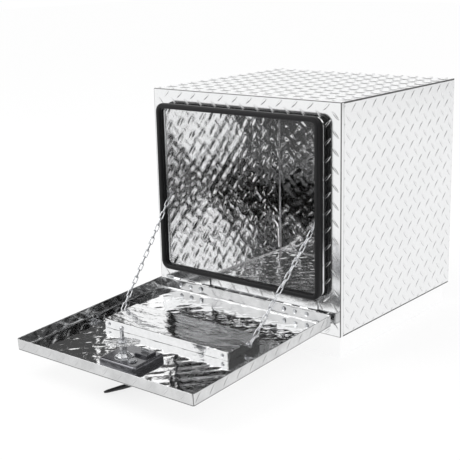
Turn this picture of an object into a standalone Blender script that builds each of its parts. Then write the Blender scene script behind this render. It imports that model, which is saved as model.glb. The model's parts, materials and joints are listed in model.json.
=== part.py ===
"""Underbody truck tool box: a sheet metal case with a drop-down door on two strap hinges, held level by two
chains, with a rubber seal round the opening and a folding T-handle latch. Shown with the door open.

The origin is the centre of the case's top face, with -Y out of the front and +Z up."""

import math

import bmesh
import bpy
from mathutils import Matrix, Vector

# Case
CASE_WIDTH = 0.470
CASE_DEPTH = 0.440
CASE_HEIGHT = 0.457
SHEET = 0.0016
CASE_BEND = 0.004
FRAME_RETURN = 0.009
GAP = 0.0003
BEAD = 0.003
OVERRUN = 0.004

# Opening lip and seal
LIP_SIDE_MARGIN = 0.035
LIP_TOP_MARGIN = 0.0325
LIP_BASE_MARGIN = 0.0775
LIP_RADIUS = 0.0135
LIP_DEPTH = 0.0190
LIP_BEND = 0.002
SEAL_START = 0.004
SEAL_GRIP_WIDTH = 0.008
SEAL_BULB_WIDTH = 0.011
SEAL_BULB_START = 0.0145
SEAL_CREST = 0.0045
SEAL_CHAMFER = 0.0015

# Door
DOOR_SIDE_MARGIN = 0.0115
DOOR_TOP_MARGIN = 0.0010
DOOR_OFFSET = -0.0055
DOOR_RIM = 0.0235
DOOR_STANDOFF = 0.0024
DOOR_CORNER = 0.006
DOOR_BEND = 0.003
DOOR_DROP_DEG = 3.0

# Hinges
HINGE_HEIGHT = 0.045
HINGE_WIDTH = 0.100
HINGE_EDGE_MARGIN = 0.036
HINGE_SHEET = 0.0015
PIN_RADIUS = 0.0012
KNUCKLES = 5
CASE_LEAF_HEIGHT = 0.021
DOOR_LEAF_HEIGHT = 0.0195
RIVET_PITCH = 0.028
RIVET_DROP = 0.0095
RIVET_RADIUS = 0.0024
RIVET_HEAD_RADIUS = 0.0048
RIVET_HEAD = 0.0013

# Stiffener tray
TRAY_SIDE_MARGIN = 0.064
TRAY_START = 0.143
TRAY_LENGTH = 0.095
TRAY_HEIGHT = 0.018
TRAY_CORNER = 0.003
SCREW_INSET = 0.014
SCREW_RADIUS = 0.0035
SCREW_HEAD = 0.0018

# Latch dish
DISH_WIDTH = 0.093
DISH_LENGTH = 0.079
DISH_HEIGHT = 0.012
DISH_WALL = 0.0020
DISH_CORNER = 0.0035
DISH_EDGE_MARGIN = 0.0375
DISH_ASIDE = 0.0055
DISH_FLANGE = 0.009
DISH_FLANGE_SHEET = 0.0016
DISH_EDGE = 0.0015

# Latch spindle and cam
SPINDLE_EDGE_MARGIN = 0.0645
SHAFT_SIZE = 0.010
SHAFT_CLEARANCE = 0.0010
BOSS_RADIUS = 0.018
BOSS_NECK_RADIUS = 0.0125
BOSS_BASE = 0.003
BOSS_HEIGHT = 0.009
CAM_RISE = 0.0270
CAM_SHEET = 0.003
CAM_LENGTH = 0.072
CAM_WIDTH = 0.036
CAM_TIP = 0.004
CAM_SLOT_LENGTH = 0.012
CAM_SLOT_WIDTH = 0.005
CAM_SLOT_PLACE = 0.019
CAM_REST_DEG = 38.0
HANDLE_REST_DEG = 68.0
NUT_RADIUS = 0.009
NUT_HEIGHT = 0.0055
STUD_RADIUS = 0.0035
STUD_TOP = 0.0510
BALL_RADIUS = 0.0045

# Handle
PIN_DEPTH = 0.0155
HANDLE_DROP = 0.046
HANDLE_LENGTH = 0.090
HANDLE_RADIUS = 0.0055
HANDLE_STEM = 0.009
HANDLE_END_SHARE = 0.45
HANDLE_BEND_SHARE = 0.72
HANDLE_BEND_PLACE_SHARE = 0.85
HANDLE_FLAT_SHARE = 0.75
FORK_WIDTH = 0.018
FORK_LENGTH = 0.012
TONGUE = 0.006
HANDLE_PIN_RADIUS = 0.002

# Lock
LOCK_ACROSS = 0.027
LOCK_EDGE_MARGIN = 0.0575
LOCK_RADIUS = 0.0065
LOCK_HOUSING_RADIUS = 0.0095
LOCK_FLANGE = 0.0015
KEYWAY_WIDTH = 0.0012
KEYWAY_LENGTH = 0.007
KEYWAY_DEPTH = 0.003
BRACKET_WIDTH = 0.032
BRACKET_LENGTH = 0.026
BRACKET_HEIGHT = 0.0045
BRACKET_BEVEL = 0.0010
BRACKET_ACROSS = 0.0255
BRACKET_EDGE_MARGIN = 0.0935
SPRING_RADIUS = 0.0032
SPRING_WIRE = 0.0007
SPRING_LENGTH = 0.020
SPRING_TURNS = 5
SPRING_STEPS_A_TURN = 8

# Chains
CHAIN_IN = 0.009
CHAIN_HEIGHT = 0.234
CHAIN_TRAY_PLACE = 0.180
CHAIN_TRAY_RISE = 0.014
CHAIN_TRAY_CLEAR = 0.006
LINKS_A_HALF = 9
LINK_WIRE = 0.0011
LINK_WIDTH = 0.0088
LINK_BITE = 0.0002
LINK_TURN_DEG = 120.0
EYE_WIRE = 0.0008
EYE_RADIUS = 0.0034
EYE_PLAY = 0.0003
EYE_BASE_RADIUS = 0.0030
EYE_BASE = 0.0012

# Facets
ROUND = 24
SMALL_ROUND = 12
CORNER_STEPS = 6
WIRE_SIDES = 6
LINK_END_STEPS = 5
BEND_STEPS = 3
LIP_BEND_STEPS = 2
KNUCKLE_STEPS = 12
KNUCKLE_SWEEP_DEG = 285.0
CAM_STEPS = 10
BALL_STEPS = 8
SMALL_CORNER_STEPS = 3

# Places that follow from the sizes above
FRONT = -CASE_DEPTH/2
BACK = CASE_DEPTH/2
SIDE = CASE_WIDTH/2
BASE = -CASE_HEIGHT
LIP_WIDTH = CASE_WIDTH - 2*LIP_SIDE_MARGIN
LIP_HEIGHT = CASE_HEIGHT - LIP_TOP_MARGIN - LIP_BASE_MARGIN
LIP_MIDDLE = BASE + LIP_BASE_MARGIN + LIP_HEIGHT/2
KNUCKLE_BORE = PIN_RADIUS + GAP
KNUCKLE_RADIUS = KNUCKLE_BORE + HINGE_SHEET
AXIS_Y = FRONT - GAP - KNUCKLE_RADIUS
AXIS_Z = BASE + HINGE_HEIGHT
DOOR_START = KNUCKLE_RADIUS + GAP
DOOR_WIDTH = CASE_WIDTH - 2*DOOR_SIDE_MARGIN
DOOR_LENGTH = CASE_HEIGHT - HINGE_HEIGHT - DOOR_START - DOOR_TOP_MARGIN
HINGE_SPACING = DOOR_WIDTH - HINGE_WIDTH - 2*HINGE_EDGE_MARGIN
TRAY_WIDTH = DOOR_WIDTH - 2*TRAY_SIDE_MARGIN
RIM_TOP = GAP + KNUCKLE_RADIUS - DOOR_STANDOFF
SKIN = RIM_TOP - DOOR_RIM + SHEET
SKIN_OUTER = SKIN - SHEET
SEAL_FRONT = GAP + KNUCKLE_RADIUS - SKIN - GAP
TRAY_TOP = SKIN + TRAY_HEIGHT
DISH_TOP = SKIN + DISH_HEIGHT
DISH_MIDDLE = DOOR_LENGTH - DISH_EDGE_MARGIN - DISH_LENGTH/2
BOSS_TOP = DISH_TOP + GAP + BOSS_HEIGHT
CAM_LOWER = DISH_TOP + CAM_RISE
SPINDLE_Y = -(DOOR_START + DOOR_LENGTH - SPINDLE_EDGE_MARGIN)
PIN_LEVEL = SKIN - PIN_DEPTH
HANDLE_LEVEL = SKIN - HANDLE_DROP
HANDLE_REST = math.radians(HANDLE_REST_DEG)
CAM_TURN = math.radians(CAM_REST_DEG - HANDLE_REST_DEG)
DISH_X = DOOR_OFFSET + DISH_ASIDE
BRACKET_X = DOOR_OFFSET + BRACKET_ACROSS
BRACKET_Y = -(DOOR_START + DOOR_LENGTH - BRACKET_EDGE_MARGIN)
LINK_TURN = math.radians(LINK_TURN_DEG)

SCENE = bpy.context.scene


def clear_scene():
    for old in list(bpy.data.objects):
        bpy.data.objects.remove(old, do_unlink=True)


def material(name, colour, roughness, metallic):
    made = bpy.data.materials.new(name)
    made.use_nodes = True
    shader = made.node_tree.nodes["Principled BSDF"]
    shader.inputs["Base Color"].default_value = (*colour, 1.0)
    shader.inputs["Roughness"].default_value = roughness
    shader.inputs["Metallic"].default_value = metallic
    made.diffuse_color = (*colour, 1.0)
    return made


def piece(name, bm, look, parent=None, origin=None):
    """An object from bm, whose points are in the parent's space, with its own origin at the given point."""
    bm.normal_update()
    if origin is not None:
        bmesh.ops.translate(bm, verts=bm.verts, vec=-Vector(origin))
    mesh = bpy.data.meshes.new(name)
    bm.to_mesh(mesh)
    bm.free()
    mesh.shade_smooth()
    mesh.set_sharp_from_angle(angle=math.radians(32.0))
    made = bpy.data.objects.new(name, mesh)
    SCENE.collection.objects.link(made)
    if look is not None:
        mesh.materials.append(look)
    if origin is not None:
        made.location = origin
    made.parent = parent
    return made


def empty(name, place, parent=None, turn=0.0):
    made = bpy.data.objects.new(name, None)
    made.location = place
    made.rotation_euler = (turn, 0.0, 0.0)
    made.empty_display_size = DISH_HEIGHT
    made.parent = parent
    SCENE.collection.objects.link(made)
    return made


def cut(target, cutter, way="DIFFERENCE"):
    cutter.hide_render = True
    cutter.display_type = "WIRE"
    step = target.modifiers.new(cutter.name, "BOOLEAN")
    step.operation = way
    step.object = cutter
    step.solver = "EXACT"


def rounded_outline(width, height, radius, steps=CORNER_STEPS):
    """Points of a rectangle with round corners, centred on zero, counter-clockwise from the first corner."""
    points = []
    for quarter, (across, up) in enumerate(((1, 1), (-1, 1), (-1, -1), (1, -1))):
        for step in range(steps + 1):
            angle = (quarter + step/steps)*math.pi/2
            points.append((across*(width/2 - radius) + radius*math.cos(angle),
                           up*(height/2 - radius) + radius*math.sin(angle)))
    return points


def circle_outline(radius, count, phase=0.0):
    angles = [phase + 2*math.pi*step/count for step in range(count)]
    return [(radius*math.cos(angle), radius*math.sin(angle)) for angle in angles]


def skin(bm, rings, closed=False):
    """Faces between rings of points of one length: closed on itself like a tyre, or capped at both ends."""
    made = [[bm.verts.new(point) for point in ring] for ring in rings]
    count = len(made[0])
    following = made[1:] + made[:1] if closed else made[1:]
    faces = []
    for ring, other in zip(made, following):
        for step in range(count):
            ahead = (step + 1) % count
            faces.append(bm.faces.new((ring[step], ring[ahead], other[ahead], other[step])))
    if not closed:
        faces.append(bm.faces.new(list(reversed(made[0]))))
        faces.append(bm.faces.new(made[-1]))
    if enclosed_volume(faces) < 0.0:
        for face in faces:
            face.normal_flip()


def enclosed_volume(faces):
    """Six times the volume inside faces, negative where they point inwards."""
    start = faces[0].verts[0].co
    total = 0.0
    for face in faces:
        points = [vert.co - start for vert in face.verts]
        for near, far in zip(points[1:-1], points[2:]):
            total += points[0].dot(near.cross(far))
    return total


def box(bm, low, high):
    corners = [(low[0], low[1]), (high[0], low[1]), (high[0], high[1]), (low[0], high[1])]
    skin(bm, [[Vector((x, y, z)) for x, y in corners] for z in (low[2], high[2])])


def column(bm, outline, levels, centre=(0.0, 0.0)):
    """Rings of one outline, scaled for each (height, scale) pair of levels."""
    rings = []
    for height, scale in levels:
        rings.append([Vector((centre[0] + x*scale, centre[1] + y*scale, height)) for x, y in outline])
    skin(bm, rings)


def turned(bm, profile, count, place=None):
    """A solid turned about local Z from (radius, height) pairs, none on the axis."""
    rings = []
    for radius, height in profile:
        ring = [Vector((x, y, height)) for x, y in circle_outline(radius, count)]
        rings.append([place @ point for point in ring] if place else ring)
    skin(bm, rings)


def tube_ring(bm, path, radius, sides, across):
    """A round wire along a closed flat path, whose plane has the normal across."""
    rings = []
    count = len(path)
    for step, point in enumerate(path):
        along = (path[(step + 1) % count] - path[step - 1]).normalized()
        out = along.cross(across).normalized()
        ring = []
        for side in range(sides):
            angle = 2*math.pi*side/sides
            ring.append(point + radius*(out*math.cos(angle) + across*math.sin(angle)))
        rings.append(ring)
    skin(bm, rings, closed=True)


def make_case(metal, weld):
    wall = SIDE - SHEET
    rear = FRONT + FRAME_RETURN + GAP
    shell = (
        ("top_panel", (-SIDE, rear, -SHEET), (SIDE, BACK, 0.0)),
        ("floor_panel", (-SIDE, rear, BASE), (SIDE, BACK, BASE + SHEET)),
        ("left_side_panel", (-SIDE, rear, BASE + SHEET + GAP), (-wall, BACK, -SHEET - GAP)),
        ("right_side_panel", (wall, rear, BASE + SHEET + GAP), (SIDE, BACK, -SHEET - GAP)),
        ("back_panel", (-wall + GAP, BACK - SHEET, BASE + SHEET + GAP), (wall - GAP, BACK, -SHEET - GAP)),
    )
    for name, low, high in shell:
        bm = bmesh.new()
        box(bm, low, high)
        piece(name, bm, metal)
    make_beads(weld, wall)


def make_beads(weld, wall):
    """Fillet welds, three-sided in section, in the case's inner corners: one round the back, four along it"""
    inner = wall - GAP
    low = BASE + SHEET + GAP
    high = -SHEET - GAP
    back = BACK - SHEET - GAP
    front = FRONT + FRAME_RETURN + GAP
    rings = []
    for inset, y in ((0.0, back), (BEAD, back), (0.0, back - BEAD)):
        rings.append([Vector((x, y, z)) for x, z in (
            (inner - inset, high - inset), (-inner + inset, high - inset),
            (-inner + inset, low + inset), (inner - inset, low + inset))])
    bm = bmesh.new()
    skin(bm, rings, closed=True)
    piece("back_weld_bead", bm, weld)
    for upper, level, way in (("floor", low, 1), ("top", high, -1)):
        for name, side in (("left", -1), ("right", 1)):
            corner = [(side*inner, level), (side*(inner - BEAD), level), (side*inner, level + way*BEAD)]
            bm = bmesh.new()
            skin(bm, [[Vector((x, y, z)) for x, z in corner] for y in (front, back - BEAD - GAP)])
            piece(f"{name}_{upper}_weld_bead", bm, weld)


def make_front_frame(metal):
    """A shallow pan with turned-back edges and an opening whose lip is drawn outwards."""
    middle = Vector((DOOR_OFFSET, 0.0, LIP_MIDDLE))

    def outer(inset, radius, y):
        outline = rounded_outline(CASE_WIDTH - 2*inset, CASE_HEIGHT - 2*inset, radius)
        return [Vector((x, y, z + BASE/2)) for x, z in outline]

    def inner(offset, y):
        outline = rounded_outline(LIP_WIDTH + 2*offset, LIP_HEIGHT + 2*offset, LIP_RADIUS + offset)
        return [middle + Vector((x, y, z)) for x, z in outline]

    half = SHEET/2
    edge = SHEET + GAP
    rings = []
    for step in range(BEND_STEPS + 1):
        angle = step*math.pi/2/BEND_STEPS
        rings.append(outer(CASE_BEND*(1 - math.sin(angle)), edge, FRONT + CASE_BEND*(1 - math.cos(angle))))
    rings.append(outer(0.0, edge, FRONT + FRAME_RETURN))
    rings.append(outer(SHEET, GAP, FRONT + FRAME_RETURN))
    rings.append(outer(SHEET, GAP, FRONT + SHEET + GAP))
    rings.append(outer(SHEET + GAP, GAP, FRONT + SHEET))
    rings.append(inner(-half + LIP_BEND, FRONT + SHEET))
    for step in range(1, LIP_BEND_STEPS + 1):
        angle = step*math.pi/2/LIP_BEND_STEPS
        depth = FRONT + SHEET - LIP_BEND*(1 - math.cos(angle))
        rings.append(inner(-half + LIP_BEND*(1 - math.sin(angle)), depth))
    rings.append(inner(-half, FRONT - LIP_DEPTH))
    rings.append(inner(half, FRONT - LIP_DEPTH))
    rings.append(inner(half, FRONT))
    bm = bmesh.new()
    skin(bm, rings, closed=True)
    piece("front_frame", bm, metal)


def make_seal(rubber):
    """A rubber section that grips the lip and swells to a bulb in front of it, swept round the opening."""
    grip = SEAL_GRIP_WIDTH/2
    bulb = SEAL_BULB_WIDTH/2
    slot = SHEET/2 + GAP
    step_back = SEAL_BULB_START - SEAL_CHAMFER
    section = (
        (slot, SEAL_START), (grip, SEAL_START), (grip, step_back), (bulb, SEAL_BULB_START),
        (bulb, SEAL_FRONT - SEAL_CREST), (bulb - SEAL_CHAMFER/2, SEAL_FRONT - SEAL_CREST/3),
        (bulb - 2*SEAL_CHAMFER, SEAL_FRONT), (-bulb + 2*SEAL_CHAMFER, SEAL_FRONT),
        (-bulb + SEAL_CHAMFER/2, SEAL_FRONT - SEAL_CREST/3), (-bulb, SEAL_FRONT - SEAL_CREST),
        (-bulb, SEAL_BULB_START), (-grip, step_back), (-grip, SEAL_START), (-slot, SEAL_START),
        (-slot, LIP_DEPTH + GAP), (slot, LIP_DEPTH + GAP),
    )
    rings = []
    for offset, out in section:
        outline = rounded_outline(LIP_WIDTH + 2*offset, LIP_HEIGHT + 2*offset, LIP_RADIUS + offset)
        rings.append([Vector((DOOR_OFFSET + x, FRONT - out, LIP_MIDDLE + z)) for x, z in outline])
    bm = bmesh.new()
    skin(bm, rings, closed=True)
    piece("door_seal", bm, rubber)


def make_hinges(metal, steel, door_axis):
    for name, side in (("left", -1), ("right", 1)):
        centre = DOOR_OFFSET + side*HINGE_SPACING/2
        axis = Vector((0.0, AXIS_Y, AXIS_Z))
        hinge = f"{name}_hinge"
        make_leaf(hinge + "_case_leaf", metal, centre, 0, axis, 1, CASE_LEAF_HEIGHT)
        leaf = make_leaf(hinge + "_door_leaf", metal, centre, 1, Vector(), -1, DOOR_LEAF_HEIGHT, door_axis)
        cut(leaf, rivet_holes(f"{name}_leaf_holes", centre, door_axis))
        bm = bmesh.new()
        turned(bm, ((PIN_RADIUS, -HINGE_WIDTH/2), (PIN_RADIUS, HINGE_WIDTH/2)), SMALL_ROUND,
               Matrix.Translation((centre, AXIS_Y, AXIS_Z)) @ Matrix.Rotation(math.pi/2, 4, "Y"))
        piece(f"{name}_hinge_pin", bm, steel)


def make_leaf(name, metal, centre, first, where, way, height, parent=None):
    """A leaf standing up (way 1) or hanging (way -1), with every other knuckle rolled round the pin."""
    pitch = HINGE_WIDTH/KNUCKLES
    start = centre - HINGE_WIDTH/2
    place = Matrix.Translation(where) @ Matrix.Diagonal((1, way, way, 1))
    bm = bmesh.new()
    box(bm, (start, KNUCKLE_BORE, KNUCKLE_RADIUS + GAP), (start + HINGE_WIDTH, KNUCKLE_RADIUS, height))
    bmesh.ops.transform(bm, matrix=place, verts=bm.verts)
    leaf = piece(name, bm, metal, parent)
    bm = bmesh.new()
    for index in range(first, KNUCKLES, 2):
        knuckle(bm, start + index*pitch + GAP/2, start + (index + 1)*pitch - GAP/2, place)
    cut(leaf, piece(name + "_knuckles", bm, None, parent), "UNION")
    return leaf


def knuckle(bm, low, high, place):
    """A rolled knuckle about local X that runs on into a leaf standing at +Y above it."""
    sweep = -math.radians(KNUCKLE_SWEEP_DEG)
    angles = [sweep*step/KNUCKLE_STEPS for step in range(KNUCKLE_STEPS + 1)]
    profile = [(KNUCKLE_RADIUS, KNUCKLE_RADIUS + 2*GAP)]
    profile += [(KNUCKLE_RADIUS*math.cos(angle), KNUCKLE_RADIUS*math.sin(angle)) for angle in angles]
    profile += [(KNUCKLE_BORE*math.cos(angle), KNUCKLE_BORE*math.sin(angle)) for angle in reversed(angles)]
    profile.append((KNUCKLE_BORE, KNUCKLE_RADIUS + 2*GAP))
    skin(bm, [[place @ Vector((x, y, z)) for y, z in profile] for x in (low, high)])


def rivet_places(centre):
    return [(centre + (index - 1)*RIVET_PITCH, RIM_TOP - RIVET_DROP) for index in range(3)]


def rivet_holes(name, centre, door_axis):
    bm = bmesh.new()
    radius = RIVET_RADIUS + GAP
    for x, z in rivet_places(centre):
        turned(bm, ((radius, -DOOR_START - SHEET - OVERRUN), (radius, OVERRUN)), SMALL_ROUND,
               Matrix.Translation((x, 0.0, z)) @ Matrix.Rotation(-math.pi/2, 4, "X"))
    return piece(name, bm, None, door_axis)


def make_rivets(metal, door_axis):
    """Blind rivets through the door leaf and the rim, with a hollow head on the inner side."""
    for name, side in (("left", -1), ("right", 1)):
        for number, (x, z) in enumerate(rivet_places(DOOR_OFFSET + side*HINGE_SPACING/2), 1):
            bm = bmesh.new()
            near = -KNUCKLE_BORE + GAP
            far = -DOOR_START - SHEET - GAP
            profile = (
                (RIVET_RADIUS, near + RIVET_HEAD), (RIVET_HEAD_RADIUS, near + RIVET_HEAD/2),
                (RIVET_HEAD_RADIUS, near), (RIVET_RADIUS, near), (RIVET_RADIUS, far), (RIVET_HEAD_RADIUS, far),
                (RIVET_HEAD_RADIUS, far - RIVET_HEAD/2), (RIVET_RADIUS, far - RIVET_HEAD),
                (RIVET_RADIUS/2, far - RIVET_HEAD), (RIVET_RADIUS/2, far - RIVET_HEAD/2),
            )
            place = Matrix.Translation((x, 0.0, z)) @ Matrix.Rotation(-math.pi/2, 4, "X")
            turned(bm, profile, SMALL_ROUND, place)
            piece(f"{name}_hinge_rivet_{number}", bm, metal, door_axis)


def make_door(metal, door_axis):
    """A pan with its rim turned towards the case and a hole for the latch dish."""
    middle = -(DOOR_START + DOOR_LENGTH/2)
    hole_middle = -(DOOR_START + DISH_MIDDLE)

    def outer(inset, z):
        outline = rounded_outline(DOOR_WIDTH - 2*inset, DOOR_LENGTH - 2*inset, DOOR_CORNER - inset)
        return [Vector((DOOR_OFFSET + x, middle + y, z)) for x, y in outline]

    def hole(z):
        outline = rounded_outline(DISH_WIDTH + 2*GAP, DISH_LENGTH + 2*GAP, DISH_CORNER + GAP)
        return [Vector((DISH_X + x, hole_middle + y, z)) for x, y in outline]

    rings = [hole(SKIN_OUTER), outer(DOOR_BEND, SKIN_OUTER)]
    rings += [outer(DOOR_BEND*(1 - math.sin(angle)), SKIN_OUTER + DOOR_BEND*(1 - math.cos(angle)))
              for angle in (math.pi/4, math.pi/2)]
    rings += [outer(0.0, RIM_TOP), outer(SHEET, RIM_TOP), outer(SHEET, SKIN + SHEET), outer(2*SHEET, SKIN)]
    rings.append(hole(SKIN))
    bm = bmesh.new()
    skin(bm, rings, closed=True)
    pan = piece("door_pan", bm, metal, door_axis)
    for name, side in (("left", -1), ("right", 1)):
        cut(pan, rivet_holes(f"{name}_rim_holes", DOOR_OFFSET + side*HINGE_SPACING/2, door_axis))


def make_tray(metal, steel, door_axis):
    """A shallow stiffening pan, open side down on the door's inner skin."""
    middle = -(DOOR_START + TRAY_START + TRAY_LENGTH/2)

    def ring(inset, radius, z):
        outline = rounded_outline(TRAY_WIDTH - 2*inset, TRAY_LENGTH - 2*inset, radius, SMALL_CORNER_STEPS)
        return [Vector((DOOR_OFFSET + x, middle + y, z)) for x, y in outline]

    foot = SKIN + GAP
    rings = [
        ring(SHEET, TRAY_CORNER - SHEET, TRAY_TOP - SHEET), ring(SHEET, TRAY_CORNER - SHEET, foot),
        ring(0.0, TRAY_CORNER, foot), ring(0.0, TRAY_CORNER, TRAY_TOP - SHEET),
        ring(SHEET/3, TRAY_CORNER - SHEET/3, TRAY_TOP - SHEET/3), ring(SHEET, TRAY_CORNER - SHEET, TRAY_TOP),
    ]
    bm = bmesh.new()
    skin(bm, rings)
    tray = piece("stiffener_tray", bm, metal, door_axis)
    face = middle - TRAY_LENGTH/2
    level = SKIN + TRAY_HEIGHT/2
    holes = bmesh.new()
    hole = SCREW_RADIUS/2 + GAP
    for name, side in (("left", -1), ("right", 1)):
        screw = bmesh.new()
        x = DOOR_OFFSET + side*(TRAY_WIDTH/2 - SCREW_INSET)
        place = Matrix.Translation((x, face, level)) @ Matrix.Rotation(math.pi/2, 4, "X")
        profile = ((SCREW_RADIUS/2, -SHEET - OVERRUN), (SCREW_RADIUS/2, GAP), (SCREW_RADIUS, GAP),
                   (SCREW_RADIUS, SCREW_HEAD/2), (SCREW_RADIUS/2, SCREW_HEAD))
        turned(screw, profile, SMALL_ROUND, place)
        piece(f"{name}_tray_screw", screw, steel, door_axis)
        turned(holes, ((hole, -SHEET - OVERRUN), (hole, OVERRUN)), SMALL_ROUND, place)
    cut(tray, piece("tray_screw_holes", holes, None, door_axis))


def make_dish(plastic, door_axis):
    """The latch dish: a recess in the outer skin whose black back stands above the inner skin."""
    middle = -(DOOR_START + DISH_MIDDLE)

    def ring(grow, z):
        outline = rounded_outline(DISH_WIDTH + 2*grow, DISH_LENGTH + 2*grow, DISH_CORNER + grow)
        return [Vector((DISH_X + x, middle + y, z)) for x, y in outline]

    front = SKIN_OUTER - GAP - DISH_FLANGE_SHEET
    rings = [
        ring(-DISH_WALL, DISH_TOP - DISH_WALL), ring(-DISH_WALL, front),
        ring(DISH_FLANGE - DISH_EDGE/2, front), ring(DISH_FLANGE, front + DISH_EDGE/2),
        ring(DISH_FLANGE, SKIN_OUTER - GAP), ring(0.0, SKIN_OUTER - GAP),
        ring(0.0, DISH_TOP - DISH_EDGE), ring(-DISH_EDGE, DISH_TOP),
    ]
    bm = bmesh.new()
    skin(bm, rings)
    dish = piece("latch_dish", bm, plastic, door_axis)
    bm = bmesh.new()
    level = DISH_TOP - DISH_WALL
    shaft = (DOOR_OFFSET, SPINDLE_Y, SHAFT_SIZE/2 + SHAFT_CLEARANCE + GAP)
    for x, y, radius in (shaft, (*lock_place(), LOCK_RADIUS + GAP)):
        hole = ((radius, level - OVERRUN), (radius, DISH_TOP + OVERRUN))
        turned(bm, hole, ROUND, Matrix.Translation((x, y, 0.0)))
    cut(dish, piece("dish_holes", bm, None, door_axis))


def lock_place():
    return DOOR_OFFSET + LOCK_ACROSS, -(DOOR_START + DOOR_LENGTH - LOCK_EDGE_MARGIN)


def make_latch(zinc, steel, black, door_axis):
    bm = bmesh.new()
    bore = SHAFT_SIZE/2 + SHAFT_CLEARANCE + GAP
    foot = DISH_TOP + GAP
    rings = []
    for radius, z in ((bore, foot), (BOSS_RADIUS, foot), (BOSS_RADIUS, foot + BOSS_BASE/2),
                      (BOSS_RADIUS - BOSS_BASE/2, foot + BOSS_BASE), (BOSS_NECK_RADIUS, foot + BOSS_BASE),
                      (BOSS_NECK_RADIUS - BOSS_BASE/2, BOSS_TOP), (bore, BOSS_TOP)):
        rings.append([Vector((DOOR_OFFSET + x, SPINDLE_Y + y, z)) for x, y in circle_outline(radius, ROUND)])
    skin(bm, rings, closed=True)
    piece("latch_boss", bm, zinc, door_axis)

    axis = empty("latch_axis", (DOOR_OFFSET, SPINDLE_Y, 0.0), door_axis)
    axis.rotation_euler = (0.0, 0.0, HANDLE_REST)
    make_spindle(zinc, axis)
    make_cam(zinc, axis)
    make_handle(black, steel, axis)
    make_lock(zinc, door_axis)
    make_bracket(black, steel, door_axis)


def make_spindle(zinc, axis):
    """Round where it turns in the dish, forked below for the handle, square above, with a stud at the tip."""
    bm = bmesh.new()
    turning = SHAFT_SIZE/2 + SHAFT_CLEARANCE
    inner = DISH_TOP - DISH_WALL
    turned(bm, ((turning, inner - TONGUE/2), (turning, BOSS_TOP + 2*GAP)), ROUND)
    shaft = piece("latch_spindle", bm, zinc, axis)
    half = SHAFT_SIZE/2
    upper = bmesh.new()
    box(upper, (-half, -half, BOSS_TOP + GAP), (half, half, CAM_LOWER - GAP))
    cut(shaft, piece("spindle_square", upper, None, axis), "UNION")
    stud = bmesh.new()
    turned(stud, ((STUD_RADIUS, CAM_LOWER - OVERRUN), (STUD_RADIUS, DISH_TOP + STUD_TOP)), SMALL_ROUND)
    cut(shaft, piece("spindle_stud", stud, None, axis), "UNION")
    fork = bmesh.new()
    box(fork, (-FORK_WIDTH/2, -FORK_LENGTH/2, PIN_LEVEL - FORK_LENGTH/2),
        (FORK_WIDTH/2, FORK_LENGTH/2, inner - TONGUE/4))
    cut(shaft, piece("spindle_fork", fork, None, axis), "UNION")
    slot = bmesh.new()
    box(slot, (-TONGUE/2 - GAP, -FORK_LENGTH, PIN_LEVEL - FORK_LENGTH),
        (TONGUE/2 + GAP, FORK_LENGTH, PIN_LEVEL + FORK_LENGTH))
    cut(shaft, piece("fork_slot", slot, None, axis))
    drill = bmesh.new()
    radius = HANDLE_PIN_RADIUS + GAP
    turned(drill, ((radius, -FORK_WIDTH), (radius, FORK_WIDTH)), SMALL_ROUND,
           Matrix.Translation((0.0, 0.0, PIN_LEVEL)) @ Matrix.Rotation(math.pi/2, 4, "Y"))
    cut(shaft, piece("fork_bore", drill, None, axis))

    bm = bmesh.new()
    nut_foot = CAM_LOWER + CAM_SHEET + GAP
    rings = []
    nut_top = nut_foot + NUT_HEIGHT
    bore = STUD_RADIUS + GAP
    for radius, z in ((bore, nut_foot), (NUT_RADIUS, nut_foot), (NUT_RADIUS, nut_top), (bore, nut_top)):
        outline = circle_outline(radius, SMALL_ROUND) if radius < NUT_RADIUS else hexagon_outline(radius)
        rings.append([Vector((x, y, z)) for x, y in outline])
    skin(bm, rings, closed=True)
    piece("cam_nut", bm, zinc, axis)
    bm = bmesh.new()
    centre = DISH_TOP + STUD_TOP + GAP + BALL_RADIUS
    profile = [(BALL_RADIUS*math.sin(angle), centre - BALL_RADIUS*math.cos(angle))
               for angle in [math.pi*step/BALL_STEPS for step in range(1, BALL_STEPS)]]
    turned(bm, profile, SMALL_ROUND)
    piece("spindle_cap", bm, zinc, axis)


def hexagon_outline(radius):
    """Twelve points on a hexagon: its corners and the middles of its sides."""
    points = []
    for step in range(SMALL_ROUND):
        reach = radius if step % 2 == 0 else radius*math.cos(math.pi/6)
        angle = 2*math.pi*step/SMALL_ROUND
        points.append((reach*math.cos(angle), reach*math.sin(angle)))
    return points


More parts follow.
